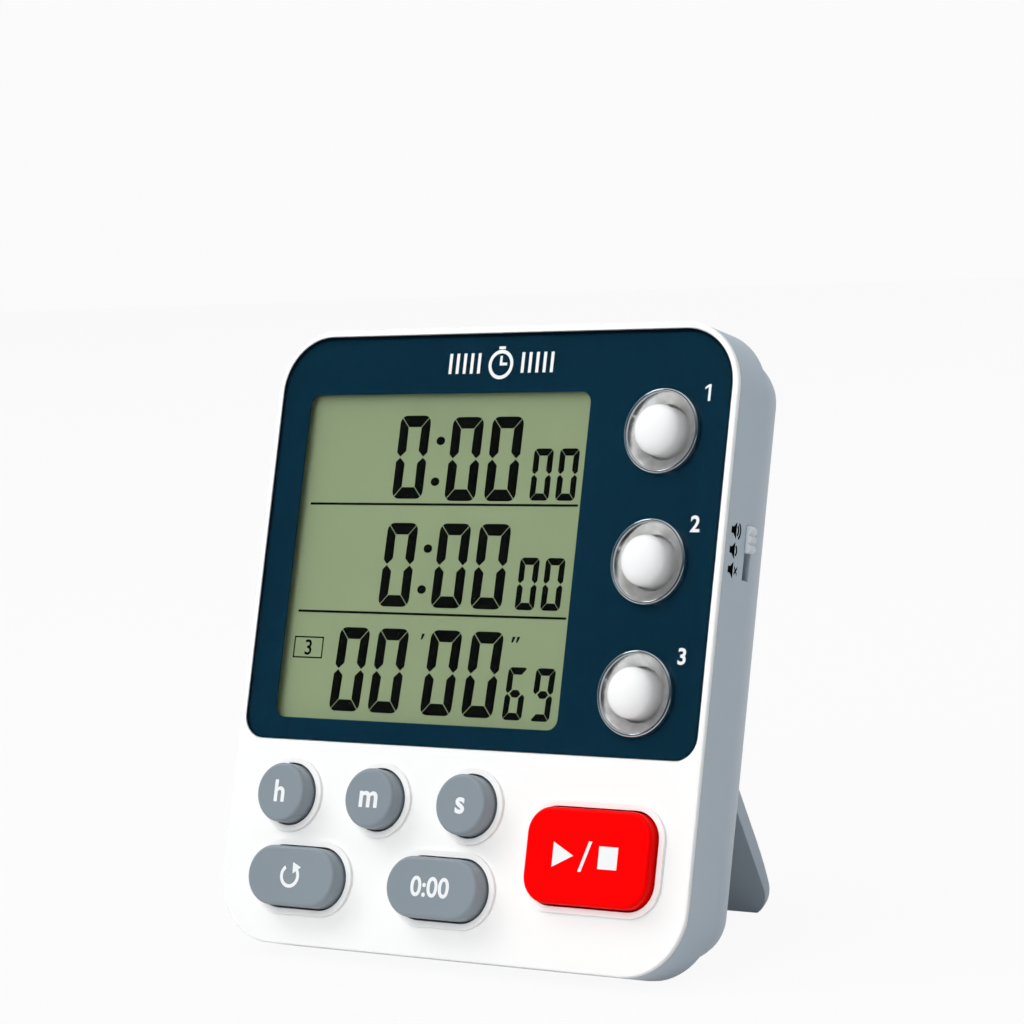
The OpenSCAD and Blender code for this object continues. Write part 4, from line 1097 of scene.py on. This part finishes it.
def screws(node, points, seat, head, shank, tip):
    turns = range(int((seat - tip - 1.2) / PITCH))
    threads = [(shank * (THREAD_ROOT if i % 2 else 1.0), -seat + 0.5 + PITCH * i) for i in turns]
    profile = [(0, -seat - 1), (head - 0.45, -seat - 1), (head - 0.15, -seat - 0.88), (head, -seat - 0.6)]
    profile += [(head, -seat), (shank, -seat)] + threads + [(0, -tip)]
    single = in_scene(node + "_one", poured(spun(profile, 0, 0, 32), bpy.data.meshes.new(node + "_one")))
    cutters = []
    for wide, tall in ((CROSS_LONG, CROSS_WIDE), (CROSS_WIDE, CROSS_LONG)):
        cut = plates([bar(-wide / 2, -tall / 2, wide / 2, tall / 2)], seat + 0.55, seat + 4)
        bmesh.ops.transform(cut, matrix=FACE, verts=cut.verts)
        cutter = in_scene("cross", poured(outward(cut), bpy.data.meshes.new("cross")))
        minus = single.modifiers.new("cross", "BOOLEAN")
        minus.object = cutter
        minus.solver = "EXACT"
        cutters.append(cutter)
    single = in_scene(node + "_whole", plain_mesh(single, node + "_cut"))
    for cutter in cutters:
        bpy.data.objects.remove(cutter)
    where = bpy.data.meshes.new(node + "_points")
    where.from_pydata([(x, 0, z) for x, z in points], [], [])
    mesh = grown(screw_tree, node, {"Screw": single, "Finish": bare_steel}, where)
    bpy.data.objects.remove(single)
    mesh.transform(CASE)
    mesh.set_sharp_from_angle(angle=SHARP)
    show("dressed_" + node, mesh, bare_steel, "case", [node])
    print(node, "faces:", len(mesh.polygons))


screws("case_screws", [(-33.5, 90.9), (33.5, 90.9), (-13.45, 8), (11.9625, 8)], 13.0, 1.6, 0.95, 3.3)
screws("board_screws", [(-24.5, 90.55), (24.5, 90.55), (37.52, 50.9525), (-22.1125, 31.25)], 6.0, 1.5, 0.7, 2.5)

# %% [markdown]
# ## Coil springs
# Each cell is pressed by a tapering coil. It follows a rule, so a spiral curve with a round profile in a
# small tree is the short way to a smooth one. The springs show only with the battery door off.

# %% Spring tree
CELL_Y, WIRE_RADIUS = 12.4, 0.3
spring_tree, spring_in, spring_out = new_tree(
    "tapering_coil",
    [
        ("Turns", "NodeSocketFloat", 3.5),
        ("Wide Radius", "NodeSocketFloat", 3.6),
        ("Narrow Radius", "NodeSocketFloat", 2.4),
        ("Length", "NodeSocketFloat", 4.35),
        ("Wire Radius", "NodeSocketFloat", WIRE_RADIUS),
        ("Finish", "NodeSocketMaterial", None),
    ],
)
spiral = add(spring_tree, "GeometryNodeCurveSpiral", {"Resolution": 28})
wire = add(spring_tree, "GeometryNodeCurvePrimitiveCircle", {"Resolution": 10})
drawn = add(spring_tree, "GeometryNodeCurveToMesh", {"Fill Caps": True})
wire_up(
    spring_tree,
    (spring_in.outputs["Turns"], spiral.inputs["Rotations"]),
    (spring_in.outputs["Wide Radius"], spiral.inputs["Start Radius"]),
    (spring_in.outputs["Narrow Radius"], spiral.inputs["End Radius"]),
    (spring_in.outputs["Length"], spiral.inputs["Height"]),
    (spring_in.outputs["Wire Radius"], wire.inputs["Radius"]),
    (spiral.outputs[0], drawn.inputs["Curve"]),
    (wire.outputs[0], drawn.inputs["Profile Curve"]),
)
close_tree(spring_tree, spring_in, spring_out, drawn.outputs[0])

# %% Two coils
coils = bmesh.new()
for x, z, way in ((-24.8, 78.95, 1), (24.8, 68.25, -1)):
    mesh = grown(spring_tree, "coil", {"Finish": bare_steel})
    turn = Matrix.Rotation(math.radians(90 * way), 4, "Y")
    mesh.transform(Matrix.Translation((x + WIRE_RADIUS * way, CELL_Y, z)) @ turn)
    coils.from_mesh(mesh)
for face in outward(coils).faces:
    face.smooth = True
springs = finished(coils, "springs_shape")
show("dressed_springs", springs, bare_steel, "case", ["battery_springs"])
print("springs:", len(springs.polygons), "faces")
